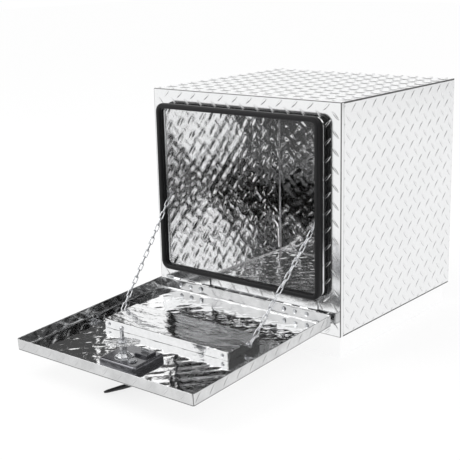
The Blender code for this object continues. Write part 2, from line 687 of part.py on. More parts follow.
def make_cam(zinc, axis):
    """A leaf-shaped plate with two arcs for sides and a slot each side of the stud, turned from the handle."""
    half = CAM_LENGTH/2
    wide = CAM_WIDTH/2
    radius = (half*half + wide*wide)/(2*wide)
    reach = math.asin((half - CAM_TIP)/radius)
    outline = []
    for side in (1, -1):
        for step in range(CAM_STEPS + 1):
            angle = -reach + 2*reach*step/CAM_STEPS
            outline.append((side*-radius*math.sin(angle), side*(radius*math.cos(angle) - radius + wide)))
    turn = Matrix.Rotation(CAM_TURN, 4, "Z")
    bm = bmesh.new()
    column(bm, outline, ((CAM_LOWER, 1.0), (CAM_LOWER + CAM_SHEET, 1.0)))
    bmesh.ops.transform(bm, matrix=turn, verts=bm.verts)
    plate = piece("cam_plate", bm, zinc, axis)
    bm = bmesh.new()
    low = CAM_LOWER - OVERRUN
    high = CAM_LOWER + OVERRUN
    for side in (-1, 1):
        slot = rounded_outline(CAM_SLOT_LENGTH, CAM_SLOT_WIDTH, CAM_SLOT_WIDTH/2, SMALL_CORNER_STEPS)
        column(bm, slot, ((low, 1.0), (high, 1.0)), (side*CAM_SLOT_PLACE, 0.0))
    bmesh.ops.transform(bm, matrix=turn, verts=bm.verts)
    turned(bm, ((STUD_RADIUS + GAP, low), (STUD_RADIUS + GAP, high)), SMALL_ROUND)
    cut(plate, piece("cam_holes", bm, None, axis))


def make_handle(black, steel, axis):
    """The folding T-handle: a flat tongue between the fork's ears, a stem and a bar tapering to its ends."""
    fold = empty("handle_axis", (0.0, 0.0, PIN_LEVEL), axis)
    reach = HANDLE_LEVEL - PIN_LEVEL
    bm = bmesh.new()
    bar = []
    half = HANDLE_LENGTH/2
    bend = half*HANDLE_BEND_PLACE_SHARE
    for x, share in ((-half, HANDLE_END_SHARE), (-bend, HANDLE_BEND_SHARE), (-HANDLE_STEM, 1.0),
                     (HANDLE_STEM, 1.0), (bend, HANDLE_BEND_SHARE), (half, HANDLE_END_SHARE)):
        section = circle_outline(HANDLE_RADIUS*share, SMALL_ROUND)
        bar.append([Vector((x, y, reach + z*HANDLE_FLAT_SHARE)) for y, z in section])
    skin(bm, bar)
    handle = piece("t_handle", bm, black, fold)
    bm = bmesh.new()
    tongue = rounded_outline(HANDLE_STEM, FORK_LENGTH/2 - reach, HANDLE_STEM/2, 4)
    low = (reach + FORK_LENGTH/2)/2
    skin(bm, [[Vector((x, y, z + low - HANDLE_STEM/4)) for y, z in tongue] for x in (-TONGUE/2, TONGUE/2)])
    cut(handle, piece("handle_stem", bm, None, fold), "UNION")
    bm = bmesh.new()
    turned(bm, ((HANDLE_PIN_RADIUS + GAP, -TONGUE), (HANDLE_PIN_RADIUS + GAP, TONGUE)), SMALL_ROUND,
           Matrix.Rotation(math.pi/2, 4, "Y"))
    cut(handle, piece("handle_bore", bm, None, fold))
    bm = bmesh.new()
    turned(bm, ((HANDLE_PIN_RADIUS, -FORK_WIDTH/2), (HANDLE_PIN_RADIUS, FORK_WIDTH/2)), SMALL_ROUND,
           Matrix.Translation((0.0, 0.0, PIN_LEVEL)) @ Matrix.Rotation(math.pi/2, 4, "Y"))
    piece("handle_pin", bm, steel, axis)


def make_lock(zinc, door_axis):
    x, y = lock_place()
    bm = bmesh.new()
    foot = DISH_TOP + GAP
    rings = []
    bore = LOCK_RADIUS + GAP
    top = foot + LOCK_FLANGE
    for radius, z in ((bore, foot), (LOCK_HOUSING_RADIUS, foot), (LOCK_HOUSING_RADIUS, top), (bore, top)):
        rings.append([Vector((x + a, y + b, z)) for a, b in circle_outline(radius, ROUND)])
    skin(bm, rings, closed=True)
    piece("lock_collar", bm, zinc, door_axis)
    bm = bmesh.new()
    low = DISH_TOP - DISH_WALL - LOCK_FLANGE
    turned(bm, ((LOCK_RADIUS, low), (LOCK_RADIUS, foot + 2*LOCK_FLANGE)), ROUND)
    plug = piece("lock_plug", bm, zinc, door_axis)
    plug.location = (x, y, 0.0)
    keyway = bmesh.new()
    box(keyway, (-KEYWAY_WIDTH/2, -KEYWAY_LENGTH/2, low - OVERRUN),
        (KEYWAY_WIDTH/2, KEYWAY_LENGTH/2, low + KEYWAY_DEPTH))
    way = piece("keyway", keyway, None, door_axis)
    way.location = (x, y, 0.0)
    cut(plug, way)


def make_bracket(black, steel, door_axis):
    """The lock bracket, a black block on the dish's back, with its coil spring lying on it."""
    foot = DISH_TOP + GAP
    top = foot + BRACKET_HEIGHT
    centre = (BRACKET_X, BRACKET_Y)
    bm = bmesh.new()
    rings = []
    for inset, z in ((0.0, foot), (0.0, top - BRACKET_BEVEL), (BRACKET_BEVEL, top)):
        outline = rounded_outline(BRACKET_WIDTH - 2*inset, BRACKET_LENGTH - 2*inset, 2*BRACKET_BEVEL - inset,
                                  SMALL_CORNER_STEPS)
        rings.append([Vector((centre[0] + x, centre[1] + y, z)) for x, y in outline])
    skin(bm, rings)
    piece("lock_bracket", bm, black, door_axis)
    height = top + GAP + SPRING_RADIUS
    count = SPRING_TURNS*SPRING_STEPS_A_TURN
    reach = SPRING_RADIUS - SPRING_WIRE
    rings = []
    for step in range(count + 1):
        angle = 2*math.pi*step/SPRING_STEPS_A_TURN
        out = Vector((0.0, math.cos(angle), math.sin(angle)))
        along = SPRING_LENGTH*(step/count - 1/2)
        middle = Vector((centre[0] + along, centre[1], height)) + reach*out
        section = circle_outline(SPRING_WIRE, WIRE_SIDES)
        rings.append([middle + x*Vector((1.0, 0.0, 0.0)) + y*out for x, y in section])
    bm = bmesh.new()
    skin(bm, rings)
    piece("lock_spring", bm, steel, door_axis)


def link_path(centre, along, across, length, width):
    """The middle line of an oval link, in the plane of along and across."""
    radius = width/2
    straight = length/2 - radius
    path = []
    for end in (1, -1):
        for step in range(LINK_END_STEPS + 1):
            angle = -math.pi/2 + math.pi*step/LINK_END_STEPS
            reach = straight + radius*math.cos(angle)
            path.append(centre + end*(along*reach + across*radius*math.sin(angle)))
    return path


def make_chains(zinc, door_axis):
    inset = LIP_WIDTH/2 - CHAIN_IN
    turn = Matrix.Translation((0.0, AXIS_Y, AXIS_Z)) @ Matrix.Rotation(math.radians(DOOR_DROP_DEG), 4, "X")
    for name, side in (("left", -1), ("right", 1)):
        upper = Vector((DOOR_OFFSET + side*inset, FRONT, BASE + CHAIN_HEIGHT))
        across = DOOR_OFFSET + side*(TRAY_WIDTH/2 + CHAIN_TRAY_CLEAR)
        lower = turn @ Vector((across, -(DOOR_START + CHAIN_TRAY_PLACE), SKIN + CHAIN_TRAY_RISE))
        along = (lower - upper).normalized()
        pitch = (lower - upper).length/(2*LINKS_A_HALF)
        first = (Vector((1.0, 0.0, 0.0)) - along*along.x).normalized()
        second = along.cross(first)
        turned_first = first*math.cos(LINK_TURN) + second*side*math.sin(LINK_TURN)
        facing = (turned_first, along.cross(turned_first))
        for half, start in (("upper", 0), ("lower", LINKS_A_HALF)):
            anchor = upper if half == "upper" else lower
            strands = []
            for odd in (0, 1):
                bm = bmesh.new()
                for index in range(start + (start + odd) % 2, start + LINKS_A_HALF, 2):
                    free = index in (LINKS_A_HALF - 1, LINKS_A_HALF)
                    length = pitch - LINK_BITE + LINK_WIRE*2 + (LINK_BITE + GAP)/2*free
                    shift = (LINK_BITE + GAP)/4*free*(1 if half == "upper" else -1)
                    centre = upper + along*(pitch*(index + 1/2) + shift)
                    path = link_path(centre, along, facing[index % 2], length, LINK_WIDTH - 2*LINK_WIRE)
                    tube_ring(bm, path, LINK_WIRE, WIRE_SIDES, facing[(index + 1) % 2])
                strands.append(piece(f"{name}_chain_{half}" + "_other"*odd, bm, zinc, None, anchor))
            cut(strands[0], strands[1], "UNION")
        lip_wall = DOOR_OFFSET + side*(LIP_WIDTH/2 - SHEET/2 - GAP)
        make_eye(f"{name}_lip_eye", upper, along, facing[1], lip_wall, zinc)
        wall = DOOR_OFFSET + side*(TRAY_WIDTH/2 + GAP)
        make_eye(f"{name}_tray_eye", lower, -along, facing[0], wall, zinc, door_axis, turn)


def make_eye(name, anchor, along, wide, wall, zinc, parent=None, turn=None):
    """A ring in line with the chain's pull, on a short stem whose foot sits on the wall at the given X."""
    reach = EYE_RADIUS - LINK_WIRE - EYE_PLAY - GAP/2
    centre = anchor - along*reach
    path = [centre + EYE_RADIUS*(along*math.cos(angle) + wide*math.sin(angle))
            for angle in [2*math.pi*(step + 0.5)/SMALL_ROUND for step in range(SMALL_ROUND)]]
    bm = bmesh.new()
    tube_ring(bm, path, EYE_WIRE, WIRE_SIDES, along.cross(wide).normalized())
    way = 1.0 if centre.x > wall else -1.0
    depth = abs(centre.x - wall)
    near = min(path, key=lambda point: way*point.x)
    stem = bmesh.new()
    place = Matrix.Translation((wall, near.y, near.z)) @ Matrix.Rotation(way*math.pi/2, 4, "Y")
    top = abs(near.x - wall)
    profile = ((EYE_BASE_RADIUS, 0.0), (EYE_BASE_RADIUS, EYE_BASE), (EYE_WIRE, EYE_BASE),
               (EYE_WIRE, min(top, depth)))
    turned(stem, profile, SMALL_ROUND, place)
    if turn is not None:
        back = turn.inverted()
        bmesh.ops.transform(bm, matrix=back, verts=bm.verts)
        bmesh.ops.transform(stem, matrix=back, verts=stem.verts)
    eye = piece(name, bm, zinc, parent)
    cut(eye, piece(f"{name}_stem", stem, None, parent), "UNION")


def build():
    clear_scene()
    metal = material("bright_aluminium", (0.86, 0.87, 0.88), 0.22, 1.0)
    frame_metal = material("frame_aluminium", (0.88, 0.88, 0.89), 0.2, 1.0)
    weld = material("weld_aluminium", (0.74, 0.75, 0.76), 0.4, 1.0)
    rubber = material("seal_rubber", (0.03, 0.03, 0.032), 0.6, 0.0)
    zinc = material("bright_zinc", (0.72, 0.73, 0.75), 0.28, 1.0)
    steel = material("stainless_steel", (0.62, 0.63, 0.65), 0.3, 1.0)
    black = material("black_coated_steel", (0.05, 0.05, 0.055), 0.35, 0.4)
    make_case(metal, weld)
    make_front_frame(frame_metal)
    make_seal(rubber)
    door_axis = empty("door_axis", (0.0, AXIS_Y, AXIS_Z), None, math.radians(DOOR_DROP_DEG))
    make_door(metal, door_axis)
    make_hinges(frame_metal, steel, door_axis)
    make_rivets(steel, door_axis)
    make_tray(metal, steel, door_axis)
    make_dish(black, door_axis)
    make_latch(zinc, steel, black, door_axis)
    make_chains(zinc, door_axis)


build()
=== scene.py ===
"""Dresses the underbody tool box: tread plate sheets, wavy mirror-bright insides, rubber seal, chains and latch."""

import json
import math
from operator import attrgetter

import bpy
import numpy as np
from bpy.props import FloatProperty, FloatVectorProperty, IntProperty, PointerProperty
from mathutils import Matrix, Vector
from mathutils.geometry import tessellate_polygon


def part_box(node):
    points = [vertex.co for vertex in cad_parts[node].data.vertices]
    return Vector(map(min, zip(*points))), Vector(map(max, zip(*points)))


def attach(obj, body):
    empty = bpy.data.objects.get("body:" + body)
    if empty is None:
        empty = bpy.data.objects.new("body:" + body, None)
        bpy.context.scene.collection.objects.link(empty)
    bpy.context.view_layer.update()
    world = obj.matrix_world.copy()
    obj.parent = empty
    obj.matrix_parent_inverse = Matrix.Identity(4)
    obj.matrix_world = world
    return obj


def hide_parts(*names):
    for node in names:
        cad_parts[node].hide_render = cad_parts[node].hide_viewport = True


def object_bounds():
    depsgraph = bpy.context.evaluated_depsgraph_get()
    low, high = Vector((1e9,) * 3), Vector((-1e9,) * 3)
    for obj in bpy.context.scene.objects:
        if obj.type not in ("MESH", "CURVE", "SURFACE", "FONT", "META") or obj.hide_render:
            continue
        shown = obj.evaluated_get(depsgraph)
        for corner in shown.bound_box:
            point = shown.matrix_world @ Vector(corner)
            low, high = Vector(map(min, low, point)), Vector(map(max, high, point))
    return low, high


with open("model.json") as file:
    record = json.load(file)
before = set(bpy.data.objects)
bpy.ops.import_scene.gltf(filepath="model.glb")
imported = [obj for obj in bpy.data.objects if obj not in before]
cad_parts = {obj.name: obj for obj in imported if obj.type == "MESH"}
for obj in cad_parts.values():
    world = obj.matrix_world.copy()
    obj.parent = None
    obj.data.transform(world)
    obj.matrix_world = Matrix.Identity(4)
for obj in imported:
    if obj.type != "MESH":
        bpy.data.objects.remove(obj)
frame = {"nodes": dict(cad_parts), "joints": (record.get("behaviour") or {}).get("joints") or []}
CAD_BOX = [list(corner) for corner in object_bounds()]

bl_info = {
    "name": "Underbody tool box",
    "version": (1, 0, 0),
    "blender": (4, 5, 0),
    "location": "3D View > Sidebar > Tool box",
    "description": "Builds the pieces of a tread plate underbody tool box",
    "category": "Object",
}

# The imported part's sizes in metres. The origin is the middle of the case's top face, with the front towards -Y.
SHEET = 0.0016
GAP = 0.0003
CASE_LOW = np.array([-0.235, -0.220, -0.457])
CASE_HIGH = np.array([0.235, 0.220, 0.0])
FRAME_RETURN = 0.009
FRAME_SINK = 0.0010
FRAME_EDGE = 0.0016
FRAME_CORNER = 0.0022
FRAME_INNER_CORNER = 0.0008
LIP_BEND = 0.0014
LIP_CORNER = 0.0135
SEAL_HALF = 0.0055

# The door's own space has its axis at zero, its skin flat and its free edge towards -Y.
DOOR_AXIS = np.array([0.0, -0.2233, -0.412])
DOOR_DROP = math.radians(3.0)
DOOR_MIDDLE = -0.0055
DOOR_START = 0.0033
DOOR_SIZE = np.array([0.447, 0.4077])
SKIN = -0.021
RIM_TOP = 0.0009
DISH_SIZE = np.array([0.093, 0.079])
DISH_MIDDLE = np.array([0.0, -(DOOR_START + 0.3307)])
DISH_RISE = 0.012
CAM_RISE = 0.0270

# Where each face's pattern of bars starts.
CASE_TREAD = (-0.1778, -0.0488)
FRAME_TREAD = (0.0208, -0.00825)
DOOR_TREAD = (0.006, -0.009)
RIM_TREAD = (0.003, -0.010)
RIM_END_TREAD = (0.009, -0.010)

# The camera: its right, up and back directions, and its place.
CAMERA_AXES = ((0.775118, 0.631384, -0.023378), (-0.141793, 0.209891, 0.967389), (0.6157, -0.746526, 0.252216))
CAMERA_PLACE = (1.27224, -1.80606, 0.25567)
LAMP_TARGET = Vector((0.0, -0.1, -0.25))
WHITE = (1.0, 1.0, 1.0, 1.0)
FLOOR_REACH = 14.0
SIDES = ("left", "right")


def length(name, description, default):
    return FloatProperty(name=name, description=description, default=default, min=0.0, unit="LENGTH")


def colour(name, description, default):
    return FloatVectorProperty(name=name, description=description, default=default, size=3, min=0.0, max=1.0,
                               subtype="COLOR")


def level(name, description, default, high=1.0):
    return FloatProperty(name=name, description=description, default=default, min=0.0, max=high)


class TreadSizes(bpy.types.PropertyGroup):
    pitch: length("Pitch", "Distance between bars of one direction, across", 0.0365)
    row: length("Row", "Distance between bars of one direction, up", 0.0340)
    bar_length: length("Bar length", "Length of a raised bar", 0.0255)
    bar_width: length("Bar width", "Width of a raised bar", 0.0052)
    rise: length("Rise", "Height of a raised bar", 0.0010)
    dent: length("Dent", "Depth of the print of a bar on the inner side", 0.0008)
    flank: length("Flank", "Reach of a print's soft flank", 0.0056)
    step: length("Step", "Grid step of the inner surfaces", 0.0019)
    edge: length("Edge", "Rounding of the case's outer edges", 0.0013)
    border: length("Border", "Plain strip along a bent edge", 0.0035)
    metal: colour("Metal", "Colour of the bright sheet", (0.90, 0.905, 0.91))
    inner: colour("Inner metal", "Colour of the mirror-bright inner side", (0.965, 0.967, 0.97))
    roughness: level("Roughness", "Roughness of the outer sheet", 0.2)


class SealSizes(bpy.types.PropertyGroup):
    rubber: colour("Rubber", "Colour of the seal", (0.007, 0.007, 0.0075))
    start: length("Start", "Distance of the grip from the frame", 0.0074)
    corner_steps: IntProperty(name="Corner steps", description="Steps round each corner", default=14, min=3)


class ChainSizes(bpy.types.PropertyGroup):
    wire: length("Wire", "Radius of a link's wire", 0.0013)
    width: length("Width", "Outer width of a link", 0.0093)
    links: IntProperty(name="Links", description="Links in each half of a chain", default=9, min=1)
    turn: FloatProperty(name="Turn", description="Turn of the first link about the chain", default=math.radians(120.0),
                        subtype="ANGLE")
    zinc: colour("Zinc", "Colour of the plated links", (0.70, 0.71, 0.73))


class LatchSizes(bpy.types.PropertyGroup):
    coat: colour("Coat", "Colour of the black dish and handle", (0.012, 0.012, 0.013))
    zinc: colour("Zinc", "Colour of the plated latch pieces", (0.72, 0.73, 0.75))


class StageSizes(bpy.types.PropertyGroup):
    lens: FloatProperty(name="Lens", description="Focal length", default=80.917, subtype="DISTANCE_CAMERA")
    floor_drop: length("Floor drop", "Gap below the lowest piece", 0.002)
    dark: level("Dark", "Level of the studio's dark side", 0.07)
    board: level("Board", "Level of the studio's white boards in gloss", 1.08, 2.0)
    veil: level("Veil", "Share of the floor's shadow that the white hides", 0.8)


class ToolBoxSizes(bpy.types.PropertyGroup):
    tread: PointerProperty(type=TreadSizes)
    seal: PointerProperty(type=SealSizes)
    chain: PointerProperty(type=ChainSizes)
    latch: PointerProperty(type=LatchSizes)
    stage: PointerProperty(type=StageSizes)


def settings():
    return bpy.context.scene.tool_box_sizes


class Socket:
    """A node socket that takes part in sums: each operator adds the Math node that does it."""

    def __init__(self, tree, out):
        self.tree = tree
        self.out = out

    def math(self, operation, other):
        node = self.tree.nodes.new("ShaderNodeMath")
        node.operation = operation
        for place, value in enumerate((self, other)):
            join(self.tree, node.inputs[place], value)
        return Socket(self.tree, node.outputs[0])

    def most(self, other):
        return self.math("MAXIMUM", other)

    def __add__(self, other):
        return self.math("ADD", other)

    def __mul__(self, other):
        return self.math("MULTIPLY", other)

    def __rsub__(self, other):
        return (self*-1.0) + other


def join(tree, socket, value):
    if isinstance(value, Socket):
        tree.links.new(value.out, socket)
    elif value is not None:
        socket.default_value = value


class Nodes:
    """A node tree under work, with one method that adds any node."""

    def __init__(self, tree):
        self.tree = tree

    def node(self, kind, output=0, settings=None, **values):
        """Adds a node. A value is named after its input, with _ for a space, or _ and the input's number."""
        made = self.tree.nodes.new("ShaderNode" + kind)
        for key, value in (settings or {}).items():
            setattr(made, key, value)
        for key, value in values.items():
            place = int(key[1:]) if key[0] == "_" else key.replace("_", " ")
            join(self.tree, made.inputs[place], value)
        return Socket(self.tree, made.outputs[output])

    def rise(self, value, low, high):
        """0 below low, 1 above high, and a smooth rise between."""
        return self.node("MapRange", settings={"interpolation_type": "SMOOTHSTEP"}, Value=value, From_Min=low,
                         From_Max=high)

    def vector(self, operation, *values, output=0):
        return self.node("VectorMath", output, {"operation": operation}, **{f"_{k}": v for k, v in enumerate(values)})

    def towards(self, heading, x, y, z, low, high):
        """0 to 1 as a heading comes near the direction (x, y, z): a rise of the cosine between them."""
        return self.rise(self.vector("DOT_PRODUCT", heading, (x, y, z), output="Value"), low, high)

    def blend(self, share, low, high):
        return self.node("Mix", 2, {"data_type": "RGBA"}, _0=share, _6=(*low, 1.0), _7=(*high, 1.0))

    def place(self):
        return self.node("TexCoord", output="Object")

    def noise(self, scale, detail=3.0, stretch=None):
        where = self.place()
        if stretch is not None:
            where = self.node("Mapping", Vector=where, Scale=stretch)
        return self.node("TexNoise", Vector=where, Scale=scale, Detail=detail)


class Finish(Nodes):
    """A material under work."""

    def __init__(self, name):
        self.material = bpy.data.materials.new(name)
        self.material.use_nodes = True
        super().__init__(self.material.node_tree)
        self.shader = self.tree.nodes["Principled BSDF"]

    def set(self, **values):
        for key, value in values.items():
            join(self.tree, self.shader.inputs[key.replace("_", " ")], value)
        return self.material

    def mix(self, cloud, colours, rough, *bumps, **values):
        """A cloudy pattern blends two colours, and the roughness is the pattern times rough[0] plus rough[1]. Each
        bump is a pattern, a distance and a strength, and lies on the one before. A pattern is a socket, or the
        scale, detail and stretch of a noise."""
        def pattern(what):
            return what if isinstance(what, Socket) else self.noise(*what)

        cloud = pattern(cloud)
        relief = None
        for what, distance, strength in bumps:
            relief = self.node("Bump", Height=pattern(what), Distance=distance, Strength=strength, Normal=relief)
        return self.set(Base_Color=self.blend(cloud, *colours), Roughness=cloud*rough[0] + rough[1], Normal=relief,
                        **{"Metallic": 1.0, **values})


def shades(base, *factors):
    """A colour times each factor, with no channel above 1."""
    return [tuple(min(1.0, channel*factor) for channel in base) for factor in factors]


def tread_finish():
    """Bright rolled sheet: faint cloudy tarnish, fine rolling marks in the roughness, pin-fine grain."""
    look = Finish("tread_plate")
    marks = look.noise(260.0, 3.0, (1.0, 1.0, 0.04))*0.06 + (settings().tread.roughness - 0.06)
    return look.mix((9.0, 4.0), shades(settings().tread.metal, 0.93, 1.0), (0.08, marks),
                    ((1400.0, 2.0), 0.00002, 0.25))


def weld_finish():
    """Clean weld metal, with the ripple of the beads."""
    look = Finish("weld_metal")
    ripple = look.node("TexWave", Vector=look.place(), Scale=140.0, Distortion=2.0)
    return look.mix(ripple, ((0.72, 0.72, 0.73), (0.9, 0.9, 0.905)), (0.10, 0.12), (ripple, 0.0004, 0.6))


def zinc_finish():
    """Bright zinc plate, faintly spangled."""
    look = Finish("bright_zinc")
    spangle = look.node("TexVoronoi", Vector=look.place(), Scale=700.0)
    return look.mix((160.0, 3.0), shades(settings().chain.zinc, 0.8, 1.15), (0.2, 0.14), (spangle, 0.00008, 0.25))


def pressed_finish():
    """Glossy black pressed sheet, with long faint streaks in its gloss."""
    look = Finish("black_pressing")
    streak = look.noise(70.0, 3.0, (0.25, 1.6, 1.0))
    return look.mix(streak, shades(settings().latch.coat, 7.0, 20.0), (0.16, 0.10), ((30.0, 2.0), 0.0006, 0.4),
                    Metallic=0.85, Coat_Weight=streak*0.6 + 0.4)


def plain(material, colours, cloud, rough, *bumps, **values):
    """A maker for a finish that does no more than mix. Its colours are two colours, or the name of a setting and the
    two factors that shade it."""
    def make():
        pair = colours
        if isinstance(colours[0], str):
            pair = shades(attrgetter(colours[0])(settings()), *colours[1:])
        return Finish(material).mix(cloud, pair, rough, *bumps, **values)

    return make


GRAIN = ((900.0, 3.0), 0.00002, 0.3)
MAKERS = {
    "tread": tread_finish,
    # The inner side of the sheet: mirror bright, with a little drawn haze and wide soft waves.
    "mirror": plain("bright_inner_sheet", ("tread.inner", 0.93, 1.0), (60.0, 3.0), (0.08, 0.03),
                    ((55.0, 2.5), 0.0016, 0.3)),
    # The hinge leaves: polished sheet with soft waves under a fine grain.
    "polished": plain("polished_sheet", ("tread.metal", 0.92, 1.0), (120.0, 3.0), (0.10, 0.06),
                      ((32.0, 2.0), 0.0008, 0.4), GRAIN),
    # The front frame's polished sheet, a little softer than a mirror.
    "front": plain("front_sheet", ("tread.metal", 0.95, 1.0), (70.0, 3.0), (0.08, 0.10),
                   ((1100.0, 3.0), 0.00002, 0.3)),
    # The door's rim: bright rolled sheet with handling marks, painted darker overall than the other sheets of the same
    # metal, which is painted shade.
    "rim": plain("rim_sheet_painted_shade", ("tread.metal", 0.55, 0.88), (34.0, 4.0), (0.14, 0.10),
                 ((420.0, 3.0, (1.0, 1.0, 0.15)), 0.00004, 0.4)),
    # The tray's bright sheet, with long shallow waves across it.
    "tray": plain("tray_sheet", ("tread.metal", 0.86, 1.0), (120.0, 3.0), (0.10, 0.05),
                  ((22.0, 3.0, (1.0, 2.2, 1.0)), 0.0026, 0.5), GRAIN),
    # The steep flank of a raised bar: a darker grey painted on, a painted dark reflection along the bar's sides.
    "flank": plain("bar_flank_painted_reflection", ((0.36, 0.36, 0.365), (0.62, 0.62, 0.625)), (90.0, 3.0), (0.1, 0.28)),
    # Dull grey metal painted along the rounded bends of the sheets: a painted dark reflection, the dark line that a
    # bend shows.
    "painted_bend_reflection": plain("painted_bend_reflection_metal", ((0.08, 0.08, 0.08), (0.28, 0.28, 0.28)), (180.0, 4.0), (0.2, 0.3),
                  ((180.0, 4.0), 0.0001, 0.5), Metallic=0.8),
    "weld": weld_finish,
    # Black rubber with a fine grain and a little dust.
    "rubber": plain("seal_rubber", ("seal.rubber", 1.0, 1.9), (45.0, 4.0), (0.12, 0.36),
                    ((1100.0, 4.0), 0.00006, 0.5), Metallic=0.0, Specular_IOR_Level=0.22),
    "zinc": zinc_finish,
    "steel": plain("stainless_steel", ((0.52, 0.53, 0.55), (0.74, 0.75, 0.77)), (300.0, 3.0), (0.18, 0.15),
                   ((300.0, 3.0), 0.00003, 0.4)),
    "pressed": pressed_finish,
    # Bright zinc over a pressed, pebbled plate.
    "cam": plain("pressed_zinc", ("latch.zinc", 0.9, 1.4), (120.0, 3.0), (0.12, 0.06),
                 ((170.0, 2.0), 0.0026, 0.9), Metallic=0.75),
    # Black coating with a fine orange peel.
    "coat": plain("black_coat", ("latch.coat", 1.0, 1.8), (80.0, 4.0), (0.12, 0.22),
                  ((900.0, 2.0), 0.00006, 0.5), Metallic=0.0),
}
FINISHES = {}


def finish(name):
    if name not in FINISHES:
        FINISHES[name] = MAKERS[name]()
    return FINISHES[name]


class Shape:
    """Collects closed skins worked out as arrays, and turns them into one mesh."""

    def __init__(self):
        self.points = []
        self.corners = []
        self.counts = []
        self.finishes = []
        self.total = 0

    def add(self, points, faces, looks=0):
        """Takes in points (n, 3) with their first faces, and returns the number of the first point."""
        points = np.asarray(points, float).reshape(-1, 3)
        start = self.total
        self.points.append(points)
        self.total += len(points)
        self.skin(faces, start, looks)
        return start

    def skin(self, faces, start, looks=0):
        """Adds faces (m, k) of k corners each, which count the points from start. looks holds a finish number for
        all or for each."""
        faces = np.asarray(faces, int)
        self.corners.append(faces.ravel() + start)
        self.counts.append(np.full(len(faces), faces.shape[1]))
        self.finishes.append(np.zeros(len(faces), int) + looks)

    def loft(self, grid, around=False, along=False, caps=False, looks=None):
        """Skin over a grid of points (rows, columns, 3), closed round its columns and along its rows as told. looks
        holds a finish number for each of its cells."""
        rows, columns = grid.shape[:2]
        ids = numbered(rows, columns)
        if around:
            ids = np.concatenate((ids, ids[:, :1]), 1)
        if along:
            ids = np.concatenate((ids, ids[:1]), 0)
        faces = cells(ids)[..., [0, 3, 2, 1]].reshape(-1, 4)
        flat = grid.reshape(-1, 3)
        if volume_sign(flat, faces) < 0:
            faces = faces[:, ::-1]
        start = self.add(grid, faces, 0 if looks is None else np.ravel(looks))
        for row in (0, rows - 1) if caps else ():
            ring = np.arange(columns) + row*columns
            if np.dot(polygon_normal(flat[ring]), flat[ring].mean(0) - flat.mean(0)) < 0:
                ring = ring[::-1]
            self.skin([ring], start)

        return self

    def seat(self, name, finishes, body, slot, *nodes, sharp=35.0):
        """Makes the piece, and says what it rides on and the CAD nodes that it replaces, which it hides. The slot is
        not used.
        """
        piece = self.make(name, finishes, sharp)
        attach(piece, body)
        if nodes:
            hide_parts(*nodes)

    def make(self, name, finishes, sharp=35.0):
        points = np.concatenate(self.points)
        corners = np.concatenate(self.corners)
        counts = np.concatenate(self.counts)
        mesh = bpy.data.meshes.new(name)
        mesh.vertices.add(len(points))
        mesh.vertices.foreach_set("co", points.astype(np.float32).ravel())
        mesh.loops.add(len(corners))
        mesh.loops.foreach_set("vertex_index", corners.astype(np.int32))
        mesh.polygons.add(len(counts))
        mesh.polygons.foreach_set("loop_start", (np.cumsum(counts) - counts).astype(np.int32))
        for look in finishes:
            mesh.materials.append(finish(look))
        mesh.polygons.foreach_set("material_index", np.concatenate(self.finishes).astype(np.int32))
        mesh.update(calc_edges=True)
        mesh.validate()
        mesh.shade_smooth()
        mesh.set_sharp_from_angle(angle=math.radians(sharp))
        made = bpy.data.objects.new(name, mesh)
        bpy.context.scene.collection.objects.link(made)
        return made


def numbered(rows, columns):
    return np.arange(rows*columns).reshape(rows, columns)


def cells(ids):
    """The four corners of each cell in a grid of point numbers."""
    return np.stack((ids[:-1, :-1], ids[1:, :-1], ids[1:, 1:], ids[:-1, 1:]), -1)


def looks_down(world, ids, below):
    """Whether the cells of a grid of points face the point below its first corner."""
    ahead = world[ids[1, 0]] - world[ids[0, 0]]
    aside = world[ids[0, 1]] - world[ids[0, 0]]
    return np.dot(np.cross(ahead, aside), world[ids[0, 0]] - world[below]) < 0


def polygon_normal(ring):
    centre = ring.mean(0)
    return np.cross(ring - centre, np.roll(ring, -1, 0) - centre).sum(0)


def volume_sign(points, faces):
    """Sum of signed volumes of the fans of each face, about the middle of all points."""
    p = points - points.mean(0)
    a, b, c, d = (p[faces[:, k]] for k in range(4))
    return np.einsum("ij,ij->i", a, np.cross(b, c)).sum() + np.einsum("ij,ij->i", a, np.cross(c, d)).sum()


def door_space(points):
    """Points given in the door's own space, moved to where the door stands: they turn by its drop about its axis."""
    c, s = math.cos(DOOR_DROP), math.sin(DOOR_DROP)
    y = points[..., 1]*c - points[..., 2]*s
    z = points[..., 1]*s + points[..., 2]*c
    return np.stack((points[..., 0], y, z), -1) + DOOR_AXIS


def joint_place(name):
    return next(np.array(joint["pos_m"]) for joint in frame["joints"] if joint["name"] == name)


def on_door(joint):
    """Where a joint stands on the door, across and along it in the door's own space."""
    x, y, z = joint_place(joint) - DOOR_AXIS
    return np.array([x, y*math.cos(DOOR_DROP) + z*math.sin(DOOR_DROP)])


def face_space(flat, base, way, door=False):
    """A map of (across, up, out) points to the world, for a face that looks along the axis flat from base. A face of
    the door is given in the door's own space."""
    others = [axis for axis in range(3) if axis != flat]

    def to_space(points):
        placed = np.empty_like(points)
        placed[:, others] = points[:, :2]
        placed[:, flat] = base + way*points[:, 2]
        return door_space(placed) if door else placed

    return to_space


def arc(low, high, count, endpoint=True):
    """(cos, sin) of evenly spaced angles."""
    angle = np.linspace(low, high, count, endpoint=endpoint)
    return np.stack((np.cos(angle), np.sin(angle)), -1)


def circle(count):
    return arc(0.0, 2*math.pi, count, False)


def quarter(radius, count):
    """How far a rounded edge has moved in, r(1 - cos a), and has yet to go, r(1 - sin a), over a quarter turn."""
    return [(radius*(1 - math.cos(a)), radius*(1 - math.sin(a))) for a in np.linspace(0.0, math.pi/2, count)]


